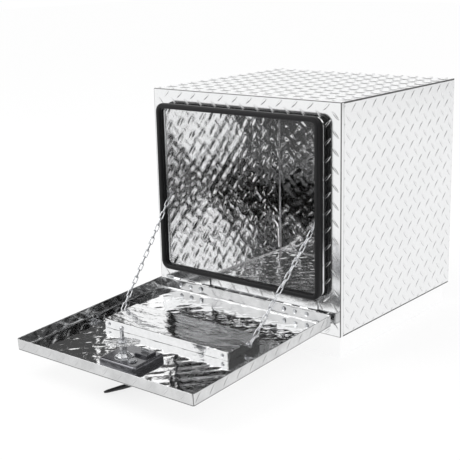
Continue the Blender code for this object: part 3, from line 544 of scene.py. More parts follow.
def rounded_loop(width, height, radius, steps, spacing=None):
    """(across, up) points round a rectangle with round corners, centred on zero, and the outward direction at each:
    the corner's middle plus its radius times (cos, sin), with the straights between cut at about the spacing."""
    points, away = [], []
    for corner, (sx, sz) in enumerate(((1, 1), (-1, 1), (-1, -1), (1, -1))):
        angle = (corner + np.linspace(0.0, 1.0, steps + 1))*math.pi/2
        out = np.stack((np.cos(angle), np.sin(angle)), -1)
        points.append(np.array([sx*(width/2 - radius), sz*(height/2 - radius)]) + radius*out)
        away.append(out)
        if spacing:
            long = (width if corner % 2 == 0 else height) - 2*radius
            ahead = np.array([-out[-1, 1], out[-1, 0]])
            way = np.linspace(0.0, long, max(2, int(round(long/spacing))) + 1)[1:-1]
            points.append(points[-1][-1] + way[:, None]*ahead)
            away.append(np.repeat(out[-1:], len(way), 0))
    return np.concatenate(points), np.concatenate(away)


def carried(size, rows, centre, steps, axis=1):
    """Rings round a rectangle: each row gives how far its sides move out, its corner's radius and the ring's place
    along the axis."""
    rings = []
    for grow, radius, away in rows:
        loop, _ = rounded_loop(size[0] + 2*grow, size[1] + 2*grow, radius, steps)
        rings.append(np.insert(centre + loop, axis, away, 1))
    return np.stack(rings)


def bar_places(low, high, origin):
    """Centres and headings of the tread's bars over a rectangle: two lattices, half a cell apart, one leaning each
    way at 45 degrees."""
    cell = np.array([settings().tread.pitch, settings().tread.row])
    first = np.floor((low - origin)/cell).astype(int) - 1
    last = np.ceil((high - origin)/cell).astype(int) + 1
    numbers = np.meshgrid(*(np.arange(first[k], last[k] + 1) for k in (0, 1)), indexing="ij")
    numbers = np.stack(numbers, -1).reshape(-1, 2)
    return np.concatenate([np.insert(origin + (numbers + shift)*cell, 2, heading, 1)
                           for shift, heading in ((0.0, 1.0), (0.5, -1.0))])


def clip_bars(places, low, high, reach):
    """The stretch of each bar, from and to along its heading, that stays inside a rectangle."""
    heading = np.stack((np.full(len(places), 1.0), places[:, 2]), -1)/math.sqrt(2)
    start = np.full(len(places), -reach)
    end = np.full(len(places), reach)
    for k in (0, 1):
        step = heading[:, k]
        near = (low[k] - places[:, k])/step
        far = (high[k] - places[:, k])/step
        start = np.maximum(start, np.minimum(near, far))
        end = np.minimum(end, np.maximum(near, far))
    return heading, start, end


def raised_bars(shape, low, high, to_space, origin, holes=()):
    """The tread's bars, cut off square where the sheet ends. With q = 1 - t^2 at t of the half length, a bar is
    w q^0.8 wide to each side, and r sqrt(q)(0.35 + 0.65 q)(1 - s^2)^0.7 high at s of that width."""
    sizes = settings().tread
    reach = sizes.bar_length/2
    half = sizes.bar_width/2
    shortest = half*1.5
    sunk = 0.00004
    places = bar_places(np.array(low), np.array(high), np.array(origin))
    heading, start, end = clip_bars(places, low, high, reach)
    keep = end - start > shortest
    for hole_low, hole_high in holes:
        _, inside, outside = clip_bars(places, hole_low, hole_high, reach)
        crossed = outside > inside
        before = crossed & (inside - start >= end - outside)
        end = np.where(before, inside, end)
        start = np.where(crossed & ~before, outside, start)
        keep &= end - start > shortest
    places, heading, start, end = places[keep], heading[keep], start[keep], end[keep]
    along = np.concatenate(([0.0], np.linspace(0.0, 1.0, 9), [1.0]))
    t = start[:, None] + (end - start)[:, None]*along
    bow = np.clip(1.0 - (t/reach)**2, 0.0, 1.0)
    tall = sizes.rise*np.sqrt(bow)*np.clip(0.35 + 0.65*bow, 0.0, 1.0)
    tall[:, [0, -1]] = 0.0
    across = np.linspace(-1.0, 1.0, 7)
    wide = np.maximum(half*bow**0.8, 0.0001)
    side = np.stack((-heading[:, 1], heading[:, 0]), -1)
    plan = (places[:, None, None, :2] + t[..., None, None]*heading[:, None, None]
            + (wide[..., None]*across)[..., None]*side[:, None, None])
    z = tall[..., None]*(1.0 - across**2)**0.7 - sunk
    points = np.concatenate((plan, z[..., None]), -1)
    count, rows, columns = points.shape[:3]
    ids = numbered(rows, columns)
    faces = cells(np.concatenate((ids, ids[:, :1]), 1)).reshape(-1, 4)
    every = (faces[None] + (np.arange(count)*rows*columns)[:, None, None]).reshape(-1, 4)
    world = to_space(points.reshape(-1, 3))
    if volume_sign(world[:rows*columns], faces) < 0:
        every = every[:, ::-1]
    # The outermost strip on each side of a bar takes the second finish, a darker grey that is a painted dark
    # reflection along the bar's sides.
    flank = np.tile(np.isin(np.arange(columns), (0, columns - 2)).astype(int), (rows - 1)*count)
    shape.add(world, every, flank)


def dent_depth(u, v, origin):
    """Depth of the soft prints of the bars: over each bar a bell exp(-(t/0.46 l)^2 - (s/f)^2), of t along and s
    across it, deeper for one lattice than for the other, plus long slow waves in the sheet."""
    sizes = settings().tread
    total = np.zeros(np.broadcast(u, v).shape)
    for shift, heading, deep in ((0.0, 1.0, 1.15), (0.5, -1.0, 0.65)):
        a = (u - origin[0])/sizes.pitch - shift
        b = (v - origin[1])/sizes.row - shift
        a = (a - np.round(a))*sizes.pitch
        b = (b - np.round(b))*sizes.row
        t = (a + heading*b)/math.sqrt(2)
        s = (b - heading*a)/math.sqrt(2)
        total += deep*np.exp(-(t/(sizes.bar_length*0.46))**2 - (s/sizes.flank)**2)
    slow = np.sin(u*31.0 + 1.3)*np.sin(v*27.0 + 0.4) + 0.6*np.sin(u*63.0 + v*41.0) + 0.3*np.sin(u*97.0 - v*118.0)
    return sizes.dent*total + 0.0005*slow


def dented_grid(us, vs, origin, share=1.0, highest=0.0010):
    """The grid's u and v, and its height: a share of the dents, which stays between -0.0013 and highest and fades
    out towards the sheet's flat edges."""
    u, v = np.meshgrid(us, vs, indexing="ij")
    edge = np.minimum(np.minimum(u - us[0], us[-1] - u), np.minimum(v - vs[0], vs[-1] - v))
    flat, reach, deepest = 0.002, 0.006, 0.0013
    fade = np.clip((edge - flat)/reach, 0.0, 1.0)
    return u, v, -np.clip(dent_depth(u, v, origin)*share, -highest, deepest)*fade


def dented_plate(shape, us, vs, to_space, thickness, kept, origin):
    """A sheet over a grid: the inner side at height zero less the dents, the outer side flat below it, and walls
    round its edge and round the cells that kept leaves out."""
    u, v, height = dented_grid(us, vs, origin, 0.5, 0.0002)
    top = np.stack((u, v, height), -1)
    low = np.stack((u, v, np.full(u.shape, -thickness)), -1)
    below = u.size
    ids = numbered(*u.shape)
    quads = cells(ids)
    world = to_space(np.concatenate((top.reshape(-1, 3), low.reshape(-1, 3))))
    upper = quads[kept]
    walls = []
    padded = np.pad(kept, 1)
    for di, dj, corner_a, corner_b in ((-1, 0, 0, 3), (1, 0, 2, 1), (0, -1, 1, 0), (0, 1, 3, 2)):
        other = padded[1 + di:padded.shape[0] - 1 + di, 1 + dj:padded.shape[1] - 1 + dj]
        open_side = kept & ~other
        a, b = quads[open_side][:, corner_a], quads[open_side][:, corner_b]
        walls.append(np.stack((b, a, a + below, b + below), -1))
    walls = np.concatenate(walls)
    lower = upper[:, ::-1] + below
    if looks_down(world, ids, below):
        upper, lower, walls = upper[:, ::-1], lower[:, ::-1], walls[:, ::-1]
    start = shape.add(world, upper)
    for faces in (lower, walls):
        shape.skin(faces, start, 1)


def dented_sheet(shape, us, vs, to_space, soft):
    """A dented inner side, and an outer side that is flat and rounded off along each edge by the radius in soft: the
    edge's points move in by r(1 - cos a) while they drop to r(1 - sin a) above the outer face."""
    u, v, height = dented_grid(us, vs, CASE_TREAD)
    ids = numbered(*u.shape)
    quads = cells(ids).reshape(-1, 4)
    rim = np.concatenate((ids[:, 0], ids[-1, 1:], ids[-2::-1, -1], ids[0, -2:0:-1]))
    rings = [np.stack((u, v, height), -1).reshape(-1, 3)]
    edge_u, edge_v = u.ravel()[rim], v.ravel()[rim]
    low_u, high_u, low_v, high_v = soft
    deepest = max(soft)
    for angle, more in ((0.0, 0.0), (22.5, 0.0), (45.0, 0.0), (67.5, 0.0), (90.0, 0.0), (90.0, 0.08)):
        turn = math.radians(angle)
        inset = 1.0 - math.cos(turn) + more
        ring_u = np.clip(edge_u, us[0] + low_u*inset, us[-1] - high_u*inset)
        ring_v = np.clip(edge_v, vs[0] + low_v*inset, vs[-1] - high_v*inset)
        rings.append(np.stack((ring_u, ring_v, np.full(len(rim), -SHEET + deepest*(1.0 - math.sin(turn)))), -1))
    world = to_space(np.concatenate(rings))
    loops = [rim] + [np.arange(len(rim)) + u.size + k*len(rim) for k in range(len(rings) - 1)]
    walls = np.concatenate([np.stack((np.roll(upper, -1), upper, lower, np.roll(lower, -1)), -1)
                            for upper, lower in zip(loops[:-1], loops[1:])])
    base = loops[-1][::-1]
    if looks_down(world, ids, loops[-1][0]):
        quads, walls, base = quads[:, ::-1], walls[:, ::-1], base[::-1]
    start = shape.add(world, quads)
    # The rounding rings take finish 2, a darker grey painted along the bent edge as a painted dark reflection. The
    # last ring takes the outer finish.
    shape.skin(walls, start, np.repeat([2, 2, 2, 2, 2, 1], len(rim)))
    shape.skin([base], start, 1)


def pierced(shape, outline, holes, low, high, to_space, outer_wall=True, under=None):
    """A flat plate between two heights with round holes through it. Its lower face may have its own outline."""
    rings = [place + radius*circle(20) for place, radius in holes]
    for height, edge, upwards in ((high, outline, True), (low, outline if under is None else under, False)):
        loops = [edge] + rings
        flat = np.concatenate(loops)
        faces = np.array(tessellate_polygon([[Vector((x, y, 0.0)) for x, y in loop] for loop in loops]))
        a, b, c = (flat[faces[:, k]] for k in range(3))
        area = (b[:, 0] - a[:, 0])*(c[:, 1] - a[:, 1]) - (b[:, 1] - a[:, 1])*(c[:, 0] - a[:, 0])
        wrong = (area > 0) != upwards
        faces[wrong] = faces[wrong][:, ::-1]
        shape.add(to_space(np.column_stack((flat, np.full(len(flat), height)))), faces)
    for ring in rings + ([outline] if outer_wall else []):
        count = len(ring)
        ids = np.arange(count)
        after = np.roll(ids, -1)
        faces = np.stack((ids, after, after + count, ids + count), -1)
        if ring is not outline:
            faces = faces[:, ::-1]
        pair = np.concatenate([np.column_stack((ring, np.full(count, z))) for z in (low, high)])
        shape.add(to_space(pair), faces)


def steps_between(low, high, step):
    return np.linspace(low, high, max(2, int(round((high - low)/step)) + 1))


def with_stops(values, stops):
    """Moves the grid lines nearest to the stops onto them."""
    values = values.copy()
    for stop in stops:
        values[np.argmin(np.abs(values - stop))] = stop
    return values


def dress(node, look):
    """Gives a CAD node one finish."""
    made = frame["nodes"][node]
    made.data.materials.clear()
    made.data.materials.append(finish(look))
    made.data.shade_smooth()
    made.data.set_sharp_from_angle(angle=math.radians(32.0))


class Step(bpy.types.Operator):
    """What all the steps share: each builds its pieces, and an error stops it"""

    bl_options = {"REGISTER"}

    def execute(self, context):
        self.build(context)
        return {"FINISHED"}


class MakeStage(Step):
    """White floor, a white block under the case, soft lamps, a studio with one dark side, and the camera"""

    bl_idname = "tool_box.stage"
    bl_label = "Stage"

    def build(self, context):
        sizes = settings().stage
        scene = context.scene
        low = CAD_BOX[0][2] - sizes.floor_drop
        floor = plain_block("floor", (-FLOOR_REACH, -FLOOR_REACH, low - 0.02), (FLOOR_REACH, FLOOR_REACH, low))
        block = plain_block("plinth", (-0.225, -0.205, low), (0.225, 0.212, CASE_LOW[2] - 0.0005))
        for made in (floor, block):
            made.data.materials.append(white_stage())
        studio(scene)
        lamp("key", (-1.6, -1.4, 2.2), 2.2, 26.0)
        lamp("fill", (2.2, -0.6, 1.9), 1.8, 12.0)
        camera = bpy.data.cameras.new("camera")
        camera.lens = sizes.lens
        camera.sensor_width = 36.0
        camera.clip_start = 0.05
        camera.clip_end = 60.0
        view = bpy.data.objects.new("camera", camera)
        view.matrix_world = Matrix.Translation(CAMERA_PLACE) @ Matrix(CAMERA_AXES).transposed().to_4x4()
        scene.collection.objects.link(view)
        scene.camera = view
        scene.view_settings.view_transform = "Standard"


def plain_block(name, low, high):
    (x0, y0, z0), (x1, y1, z1) = low, high
    ring = np.array([(x0, y0), (x1, y0), (x1, y1), (x0, y1)])
    rings = np.stack([np.column_stack((ring, np.full(4, z))) for z in (z0, z1)])
    return Shape().loft(rings, around=True, caps=True).make(name, [])


def white_stage():
    """Plain white. The camera sees it nearly lit from within, so that the backdrop is white and keeps a faint
    shadow. Gloss sees it white, but dark from a metre out towards the camera and dim far behind the box."""
    look = Finish("stage_white")
    look.set(Base_Color=look.blend(look.noise(2.0, 2.0), (0.93, 0.93, 0.93), (0.95, 0.95, 0.95)), Roughness=0.9,
             Specular_IOR_Level=0.0)
    sizes = settings().stage
    where = look.vector("MULTIPLY", look.place(), (1.0, 1.0, 0.0))
    reach = look.vector("LENGTH", where, output="Value")
    near_camera = look.towards(look.vector("NORMALIZE", where), 0.58, -0.81, 0.0, 0.72, 0.90)
    far = look.rise(look.node("SeparateXYZ", output=1, Vector=where), 4.2, 6.0)
    dark = (near_camera*look.rise(reach, 0.80, 1.10)).most(far*0.75)
    lit = look.node("Emission", Color=WHITE, Strength=1.0)
    seen = look.node("Emission", Color=WHITE, Strength=1.0 - dark*(1.0 - sizes.dark))
    camera = look.node("LightPath", output="Is Camera Ray")
    gloss = look.node("LightPath", output="Is Glossy Ray")
    first = look.node("MixShader", _0=camera*sizes.veil, _1=Socket(look.tree, look.shader.outputs[0]), _2=lit)
    second = look.node("MixShader", _0=gloss, _1=first, _2=seen)
    join(look.tree, look.tree.nodes["Material Output"].inputs[0], second)
    return look.material


def studio(scene):
    """A white world. Gloss sees a studio in it: a white sweep low down all round, lower on the right and at the far
    left, white overhead, a white board at the left of the front, and the dark of the room between them. Round the
    camera the room is dark below and white above."""
    sizes = settings().stage
    world = bpy.data.worlds.new("studio")
    scene.world = world
    world.use_nodes = True
    sky = Nodes(world.node_tree)
    heading = sky.node("TexCoord", output="Generated")
    up = sky.node("SeparateXYZ", output=2, Vector=heading)
    right = sky.node("SeparateXYZ", output=0, Vector=heading)
    lifted = up + sky.rise(right, 0.1, 0.5)*0.20 + sky.rise(right*-1.0, 0.668, 0.692)*0.12
    sweep = 1.0 - sky.rise(lifted, 0.435, 0.47)
    board = sky.towards(heading, -0.76, -0.60, 0.25, 0.72, 0.86)
    bright = sweep.most(sky.rise(up, 0.80, 0.90)).most(board)
    room = sky.towards(heading, 0.57, -0.80, 0.15, 0.60, 0.80)
    bright = (bright*(1.0 - room)).most(sky.rise(up, 0.40, 0.50)*room)
    gloss = sky.node("LightPath", output="Is Glossy Ray")
    back = world.node_tree.nodes["Background"]
    back.inputs["Color"].default_value = WHITE
    join(sky.tree, back.inputs["Strength"], 1.0 - gloss + gloss*(bright*(sizes.board - sizes.dark) + sizes.dark))


def lamp(name, place, size, power):
    light = bpy.data.lights.new(name, "AREA")
    light.shape = "DISK"
    light.size = size
    light.energy = power
    made = bpy.data.objects.new(name, light)
    made.location = place
    made.rotation_mode = "QUATERNION"
    made.rotation_quaternion = (LAMP_TARGET - Vector(place)).to_track_quat("-Z", "Y")
    bpy.context.scene.collection.objects.link(made)


class MakeCaseSheets(Step):
    """The five flat sheets of the case, with raised bars outside and their soft prints inside"""

    bl_idname = "tool_box.case_sheets"
    bl_label = "Case sheets"

    def build(self, context):
        sizes = settings().tread
        for node in ("left_side_panel", "right_side_panel", "top_panel", "floor_panel", "back_panel"):
            low, high = np.array(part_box(node))
            flat = int(np.argmin(high - low))
            a, b = [axis for axis in range(3) if axis != flat]
            way = -1.0 if low[flat] - CASE_LOW[flat] < 0.01 else 1.0
            outside = CASE_LOW[flat] if way < 0 else CASE_HIGH[flat]
            soft = [sizes.edge]*4
            if 1 in (a, b):
                soft[2*(a, b).index(1)] = GAP
            shape = Shape()
            dented_sheet(shape, steps_between(low[a], high[a], sizes.step), steps_between(low[b], high[b], sizes.step),
                         face_space(flat, outside - way*SHEET, -way), soft)
            shape.seat(node + "_sheet", ["mirror", "tread", "painted_bend_reflection"], "case", "bright_aluminium", node)
            shape = Shape()
            margin = sizes.border/3
            raised_bars(shape, low[[a, b]] + margin, high[[a, b]] - margin, face_space(flat, outside, way), CASE_TREAD)
            shape.seat(node + "_bars", ["tread", "flank"], "case", "bright_aluminium")


class MakeFront(Step):
    """The front frame: one pressed sheet with a return at its outer edge and a lip round the opening, and its bars"""

    bl_idname = "tool_box.front"
    bl_label = "Front frame"

    def build(self, context):
        low, high = (corner[[0, 2]] for corner in np.array(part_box("door_seal")))
        self.sheet(high - low - 2*SEAL_HALF, (low + high)/2)
        self.bars(low, high)

    def sheet(self, lip, opening):
        """The sheet's section, carried round: the return, a rounded edge, the face, the bend, and the lip with its
        rounded tip, and back along the inner side. Narrow strips beside the bends keep the shading of the flats
        even."""
        front = CASE_LOW[1]
        back = front + FRAME_RETURN
        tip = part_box("front_frame")[0][1]
        outer = [(-SHEET, FRAME_INNER_CORNER, back), (0.0, FRAME_CORNER, back),
                 (0.0, FRAME_CORNER, front + FRAME_EDGE + 0.0002)]
        outer += [(-inset, FRAME_CORNER - inset, front + left) for inset, left in quarter(FRAME_EDGE, 5)]
        outer.append((-FRAME_EDGE - 0.00015, 0.0005, front))
        bend = SHEET/2 + LIP_BEND
        inner = [(bend + 0.0003, front + FRAME_SINK)]
        inner += [(bend - LIP_BEND*s, front - (LIP_BEND*(1 - c) - FRAME_SINK)) for c, s in arc(0.0, math.pi/2, 5)]
        inner += [(SHEET/2*c, SHEET/2 + tip - SHEET/2*s) for c, s in arc(0.0, math.pi, 6)]
        inner += [(-SHEET/2, front + 0.0004 + FRAME_SINK), (-SHEET/2 + 0.0004, front + SHEET + FRAME_SINK)]
        inner = [(grow, LIP_CORNER + grow, away) for grow, away in inner]
        size = (CASE_HIGH - CASE_LOW)[[0, 2]]
        middle = ((CASE_LOW + CASE_HIGH)/2)[[0, 2]]
        rings = np.concatenate((carried(size, outer, middle, 8), carried(lip, inner, opening, 8),
                                carried(size, [(-SHEET, FRAME_INNER_CORNER, front + SHEET)], middle, 8)))
        looks = np.zeros(rings.shape[:2], int)
        # The rows round the frame's outer rounded edge take the darker grey: a painted dark reflection along the bend.
        looks[2:7] = 1
        Shape().loft(rings, around=True, along=True, looks=looks).seat(
            "front_sheet", ["front", "painted_bend_reflection"], "case", "frame_aluminium", "front_frame", sharp=24.0)

    def bars(self, low, high):
        case_low, case_high = CASE_LOW[[0, 2]], CASE_HIGH[[0, 2]]
        opening = (low + high)/2
        lip_half = (high - low)/2 - SEAL_HALF + SHEET/2 + LIP_BEND

        def face(points):
            """The frame sinks evenly from its outer edge to the lip, and the bars sink with it."""
            past_middle = points[:, :2] > opening
            strip = np.where(past_middle, case_high - opening, opening - case_low) - lip_half
            inside = lip_half - np.abs(points[:, :2] - opening)
            share = np.clip(1.0 + (inside/strip).min(1), 0.0, 1.0)
            return np.stack((points[:, 0], CASE_LOW[1] + FRAME_SINK*share - points[:, 2], points[:, 1]), -1)

        border = settings().tread.border
        clear = SEAL_HALF - 0.0035
        hole = (low + clear, high - clear)
        shape = Shape()
        raised_bars(shape, case_low + border, case_high - border, face, FRAME_TREAD, holes=(hole,))
        shape.seat("front_frame_bars", ["front", "flank"], "case", "frame_aluminium")


class MakeSeal(Step):
    """The rubber seal: a grip on the lip with a rounded bulb in front of it"""

    bl_idname = "tool_box.seal"
    bl_label = "Door seal"

    def build(self, context):
        low, high = np.array(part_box("door_seal"))
        flat = 0.0042
        nose = [(SEAL_HALF*c, CASE_LOW[1] - low[1] - flat + flat*s**0.8) for c, s in arc(0.0, math.pi, 15)]
        start = settings().seal.start
        half = [(0.0012, start), (0.0040, start), (0.0044, start + 0.0004), (0.0044, 0.0126), (0.0034, 0.0133),
                (0.0034, 0.0140), (0.0050, 0.0147), (SEAL_HALF, 0.0157)]
        slot_end = [(-0.0012, 0.0193), (0.0012, 0.0193)]
        section = half + nose + [(-across, out) for across, out in reversed(half)] + slot_end
        rows = [(across, LIP_CORNER + across, CASE_LOW[1] - out) for across, out in section]
        rings = carried((high - low)[[0, 2]] - 2*SEAL_HALF, rows, ((low + high)/2)[[0, 2]],
                        settings().seal.corner_steps)
        Shape().loft(rings, around=True, along=True).seat("seal", ["rubber"], "case", "seal_rubber", "door_seal",
                                                          sharp=40.0)


class MakeDoor(Step):
    """The door pan: rim, dented mirror-bright inner skin and raised bars outside"""

    bl_idname = "tool_box.door"
    bl_label = "Door"

    def build(self, context):
        step = settings().tread.step*1.15
        under_dish = 0.0022
        hole_half = DISH_SIZE/2 - under_dish
        hole_low, hole_high = DISH_MIDDLE - hole_half, DISH_MIDDLE + hole_half
        low = np.array([DOOR_MIDDLE - DOOR_SIZE[0]/2, -(DOOR_START + DOOR_SIZE[1])])
        high = np.array([DOOR_MIDDLE + DOOR_SIZE[0]/2, -DOOR_START])
        inset = SHEET*1.02
        us, vs = (with_stops(steps_between(low[k] + inset, high[k] - inset, step), (hole_low[k], hole_high[k]))
                  for k in (0, 1))
        middles = np.stack(np.meshgrid((us[1:] + us[:-1])/2, (vs[1:] + vs[:-1])/2, indexing="ij"), -1)
        kept = ~((middles > hole_low) & (middles < hole_high)).all(-1)
        shape = Shape()
        dented_plate(shape, us, vs, face_space(2, SKIN, 1.0, door=True), SHEET*0.98, kept, DOOR_TREAD)
        shape.seat("door_skin", ["mirror", "tread"], "door", "bright_aluminium", "door_pan")
        self.rim(low, high)
        self.bars(low, high, hole_low, hole_high)

    def rim(self, low, high):
        """The rim's section, a bent-up edge of the sheet, carried round the door, with the bars' prints inside."""
        bend, fillet_radius, door_corner, fade = 0.003, 0.002, 0.0042, 0.004
        centre = RIM_TOP - SHEET/2
        corner = [(-bend + bend*s, SKIN - SHEET + bend - bend*c) for c, s in arc(0.0, math.pi/2, 6)]
        top = [(-SHEET/2 + SHEET/2*c, centre + SHEET/2*s) for c, s in arc(0.0, math.pi, 7)]
        wall = [(-SHEET, z) for z in np.linspace(centre, SKIN + fillet_radius, 11)[1:-1]]
        fillet = [(-SHEET - inset, SKIN + left) for inset, left in quarter(fillet_radius, 6)]
        section = corner + top + wall + fillet + [(-bend - 0.0006, SKIN - SHEET)]
        bent = len(corner) + len(top)
        middle = (low + high)/2
        loop, away = rounded_loop(*(high - low), door_corner, 5, settings().tread.step)
        along = np.cumsum(np.linalg.norm(loop - np.roll(loop, 1, 0), axis=1))
        rings = []
        for number, (offset, z) in enumerate(section):
            near = np.clip(np.minimum(z - SKIN, RIM_TOP - z)/fade, 0.0, 1.0)*(bent <= number < bent + len(wall))
            prints = dent_depth(along, np.full(len(along), z), RIM_TREAD)*near
            place = loop + (offset + prints)[:, None]*away
            rings.append(np.column_stack((middle + place, np.full(len(loop), z))))
        rings = np.stack(rings)
        looks = np.zeros(rings.shape[:2], int)
        # Cells down the door's rounded corners, over the bend and the rim's top, and rows 2 to 4 of the bottom bend
        # take the darker grey: painted dark reflection lines. The rest takes the rim finish, which is painted shade,
        # darker than the other sheets of the same metal.
        turned = np.abs(away[:, 0]*away[:, 1]) > 0.4
        looks[:bent] += turned & np.roll(turned, -1)
        looks[2:5] = 1
        Shape().loft(door_space(rings), around=True, along=True, looks=looks).seat(
            "door_rim", ["rim", "painted_bend_reflection"], "door", "bright_aluminium")

    def bars(self, low, high, hole_low, hole_high):
        border = settings().tread.border
        flange, corner = 0.0125, 0.006
        floor, top = SKIN - SHEET + border, RIM_TOP - 0.001
        shape = Shape()
        raised_bars(shape, low + border, high - border, face_space(2, SKIN - SHEET, -1.0, door=True), DOOR_TREAD,
                    holes=((hole_low - flange, hole_high + flange),))
        for axis, base, way, start in ((0, low[0], -1.0, RIM_TREAD), (0, high[0], 1.0, RIM_TREAD),
                                       (1, low[1], -1.0, RIM_END_TREAD)):
            other = 1 - axis
            raised_bars(shape, (low[other] + corner, floor), (high[other] - corner, top),
                        face_space(axis, base, way, door=True), start)
        # The bars take the rim finish, painted shade darker than the other sheets, with painted dark reflection on
        # their flanks.
        shape.seat("door_bars", ["rim", "flank"], "door", "bright_aluminium")


class MakeChains(Step):
    """Oval welded links along each taut chain, alternate ones turned a quarter"""

    bl_idname = "tool_box.chains"
    bl_label = "Door chains"

    def build(self, context):
        sizes = settings().chain
        for name in SIDES:
            upper = joint_place(f"{name}_chain_upper_swing")
            lower = joint_place(f"{name}_chain_lower_swing")
            span = np.linalg.norm(lower - upper)
            along = (lower - upper)/span
            pitch = span/(2*sizes.links)
            first = np.array([1.0, 0.0, 0.0]) - along*along[0]
            first /= np.linalg.norm(first)
            second = np.cross(along, first)
            side = 1.0 if name == "right" else -1.0
            turned = first*math.cos(sizes.turn) + second*side*math.sin(sizes.turn)
            facing = (turned, np.cross(along, turned))
            for half, start in (("upper", 0), ("lower", sizes.links)):
                shape = Shape()
                for index in range(start, start + sizes.links):
                    centre = upper + along*pitch*(index + 0.5)
                    link(shape, centre, along, facing[index % 2], pitch + 2*sizes.wire - 0.0001, sizes)
                shape.seat(f"{name}_{half}_links", ["zinc"], f"{name}_chain_{half}_half", "bright_zinc",
                           f"{name}_chain_{half}")


def link(shape, centre, along, wide, long, sizes):
    """One link: a round wire carried along an oval of two straights and two half circles."""
    radius = sizes.width/2 - sizes.wire
    end = arc(-math.pi/2, math.pi/2, 13)
    flat = np.array([long/2 - radius, 0.0]) + radius*end
    flat = np.concatenate((flat, -flat))
    out = np.concatenate((end, -end))
    middle = centre + flat[:, :1]*along + flat[:, 1:]*wide
    outward = out[:, :1]*along + out[:, 1:]*wide
    ring = circle(12)
    shape.loft(middle[:, None] + sizes.wire*(ring[:, :1]*outward[:, None] + ring[:, 1:]*np.cross(along, wide)),
               around=True, along=True)


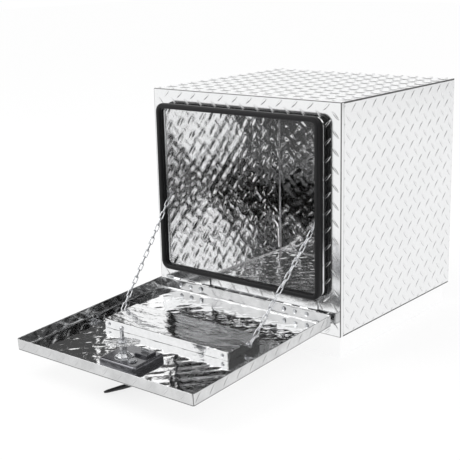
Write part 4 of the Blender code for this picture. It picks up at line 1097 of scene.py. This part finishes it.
class MakeLatch(Step):
    """The latch's black pressed dish, its round boss and the pierced leaf-shaped cam plate"""

    bl_idname = "tool_box.latch"
    bl_label = "Latch"

    def build(self, context):
        pivot = on_door("latch_turn")
        self.dish(pivot, on_door("key_turn"))
        self.boss(pivot)
        self.cam(pivot)

    def dish(self, pivot, lock):
        """A pillow with rounded edges: walls of one sheet, a flange outside, and a pierced top and inner face."""
        outside = SKIN - SHEET - GAP
        top = SKIN + DISH_RISE
        flange, corner, edge = 0.009, 0.006, 0.0046
        spindle_hole, lock_hole = 0.0066, 0.0070
        rows = [(-SHEET, top - SHEET), (-SHEET, outside - SHEET), (flange - SHEET/2, outside - SHEET),
                (flange, outside - SHEET/2), (flange, outside), (0.0, outside)]
        rows += [(-inset, top - left) for inset, left in quarter(edge, 7)]
        rings = carried(DISH_SIZE, [(grow, corner + grow, z) for grow, z in rows], DISH_MIDDLE, 6, axis=2)
        shape = Shape().loft(door_space(rings), around=True)
        pierced(shape, rings[-1][:, :2], ((pivot, spindle_hole), (lock, lock_hole)), top - SHEET, top, door_space,
                outer_wall=False, under=rings[0][:, :2])
        shape.seat("dish", ["pressed"], "door", "black_coated_steel", "latch_dish", sharp=30.0)

    def boss(self, pivot):
        """A turned collar: its section of radius and height, carried round the spindle."""
        foot = SKIN + DISH_RISE + GAP
        section = ((0.0064, 0.0), (0.0178, 0.0), (0.0180, 0.0004), (0.0176, 0.0011), (0.0150, 0.0015),
                   (0.0132, 0.0019), (0.0112, 0.0045), (0.0098, 0.0078), (0.0092, 0.0087), (0.0082, 0.0090),
                   (0.0064, 0.0090))
        rings = [np.column_stack((pivot + radius*circle(48), np.full(48, foot + z))) for radius, z in section]
        Shape().loft(door_space(np.stack(rings)), around=True, along=True).seat(
            "boss", ["zinc"], "door", "bright_zinc", "latch_boss", sharp=40.0)

    def cam(self, pivot):
        """A leaf of two arcs, with a raised rim and a ring of small holes round the stud."""
        foot = SKIN + DISH_RISE + CAM_RISE
        half, wide, tip = 0.0356, 0.0178, 0.004
        stud_hole, ring_hole, end_hole = 0.0039, 0.0023, 0.0036
        ring_radius, end_place = 0.0102, 0.0205
        radius = (half*half + wide*wide)/(2*wide)
        reach = math.asin((half - tip)/radius)
        turn = math.radians(38.0)

        def turned(x, y):
            return pivot + np.stack((x*math.cos(turn) - y*math.sin(turn), x*math.sin(turn) + y*math.cos(turn)), -1)

        def leaf(grow, height):
            angle = np.linspace(-reach, reach, 25)
            away = np.stack((-np.sin(angle), np.cos(angle)), -1)
            side = (radius + grow)*away + np.array([0.0, wide - radius])
            loop = np.concatenate((side, -side))
            return np.column_stack((turned(loop[:, 0], loop[:, 1]), np.full(len(loop), height)))

        ring = ring_radius*arc(math.pi/8, math.pi*15/8, 8)
        holes = [(pivot, stud_hole)] + [(turned(x, y), ring_hole) for x, y in ring]
        holes += [(turned(x, 0.0), end_hole) for x in (-end_place, end_place)]
        shape = Shape()
        pierced(shape, leaf(-0.0016, foot)[:, :2], holes, foot + 0.0002, foot + 0.0021, door_space)
        section = ((-0.0020, 0.0), (0.0, 0.0), (0.0003, 0.0006), (0.0, 0.0028), (-0.0006, 0.0030),
                   (-0.0018, 0.0027), (-0.0020, 0.0015))
        rings = np.stack([leaf(grow, foot + z) for grow, z in section])
        shape.loft(door_space(rings), around=True, along=True)
        shape.seat("cam", ["cam"], "latch", "bright_zinc", "cam_plate", sharp=30.0)


class MakeFittings(Step):
    """Finishes for the hinges, rivets, eyes, latch and welds, which keep their CAD shapes"""

    bl_idname = "tool_box.fittings"
    bl_label = "Fittings"

    def build(self, context):
        def both(*names):
            return [f"{side}_{name}" for side in SIDES for name in names]

        looks = {
            "polished": both("hinge_case_leaf", "hinge_door_leaf"),
            "tray": ["stiffener_tray"],
            "steel": ["lock_spring", "handle_pin"] + both("hinge_pin", "tray_screw", "hinge_rivet_1", "hinge_rivet_2",
                                                          "hinge_rivet_3"),
            "zinc": ["latch_spindle", "cam_nut", "spindle_cap", "lock_collar", "lock_plug"]
                    + both("lip_eye", "tray_eye"),
            "coat": ["t_handle"],
            "pressed": ["lock_bracket"],
            "weld": ["back_weld_bead"] + both("floor_weld_bead", "top_weld_bead"),
        }
        for look, nodes in looks.items():
            for node in nodes:
                dress(node, look)


class ToolBoxPanel(bpy.types.Panel):
    bl_label = "Underbody tool box"
    bl_idname = "VIEW3D_PT_tool_box"
    bl_space_type = "VIEW_3D"
    bl_region_type = "UI"
    bl_category = "Tool box"

    def draw(self, context):
        for step in STEPS:
            self.layout.operator(step.bl_idname)


STEPS = (MakeStage, MakeCaseSheets, MakeFront, MakeSeal, MakeDoor, MakeChains, MakeLatch, MakeFittings)
CLASSES = (TreadSizes, SealSizes, ChainSizes, LatchSizes, StageSizes, ToolBoxSizes, *STEPS, ToolBoxPanel)


def register():
    for made in CLASSES:
        bpy.utils.register_class(made)
    bpy.types.Scene.tool_box_sizes = PointerProperty(type=ToolBoxSizes)


def unregister():
    del bpy.types.Scene.tool_box_sizes
    for made in reversed(CLASSES):
        bpy.utils.unregister_class(made)


def main():
    register()
    for step in STEPS:
        group, action = step.bl_idname.split(".")
        getattr(getattr(bpy.ops, group), action)()


if __name__ == "__main__":
    main()
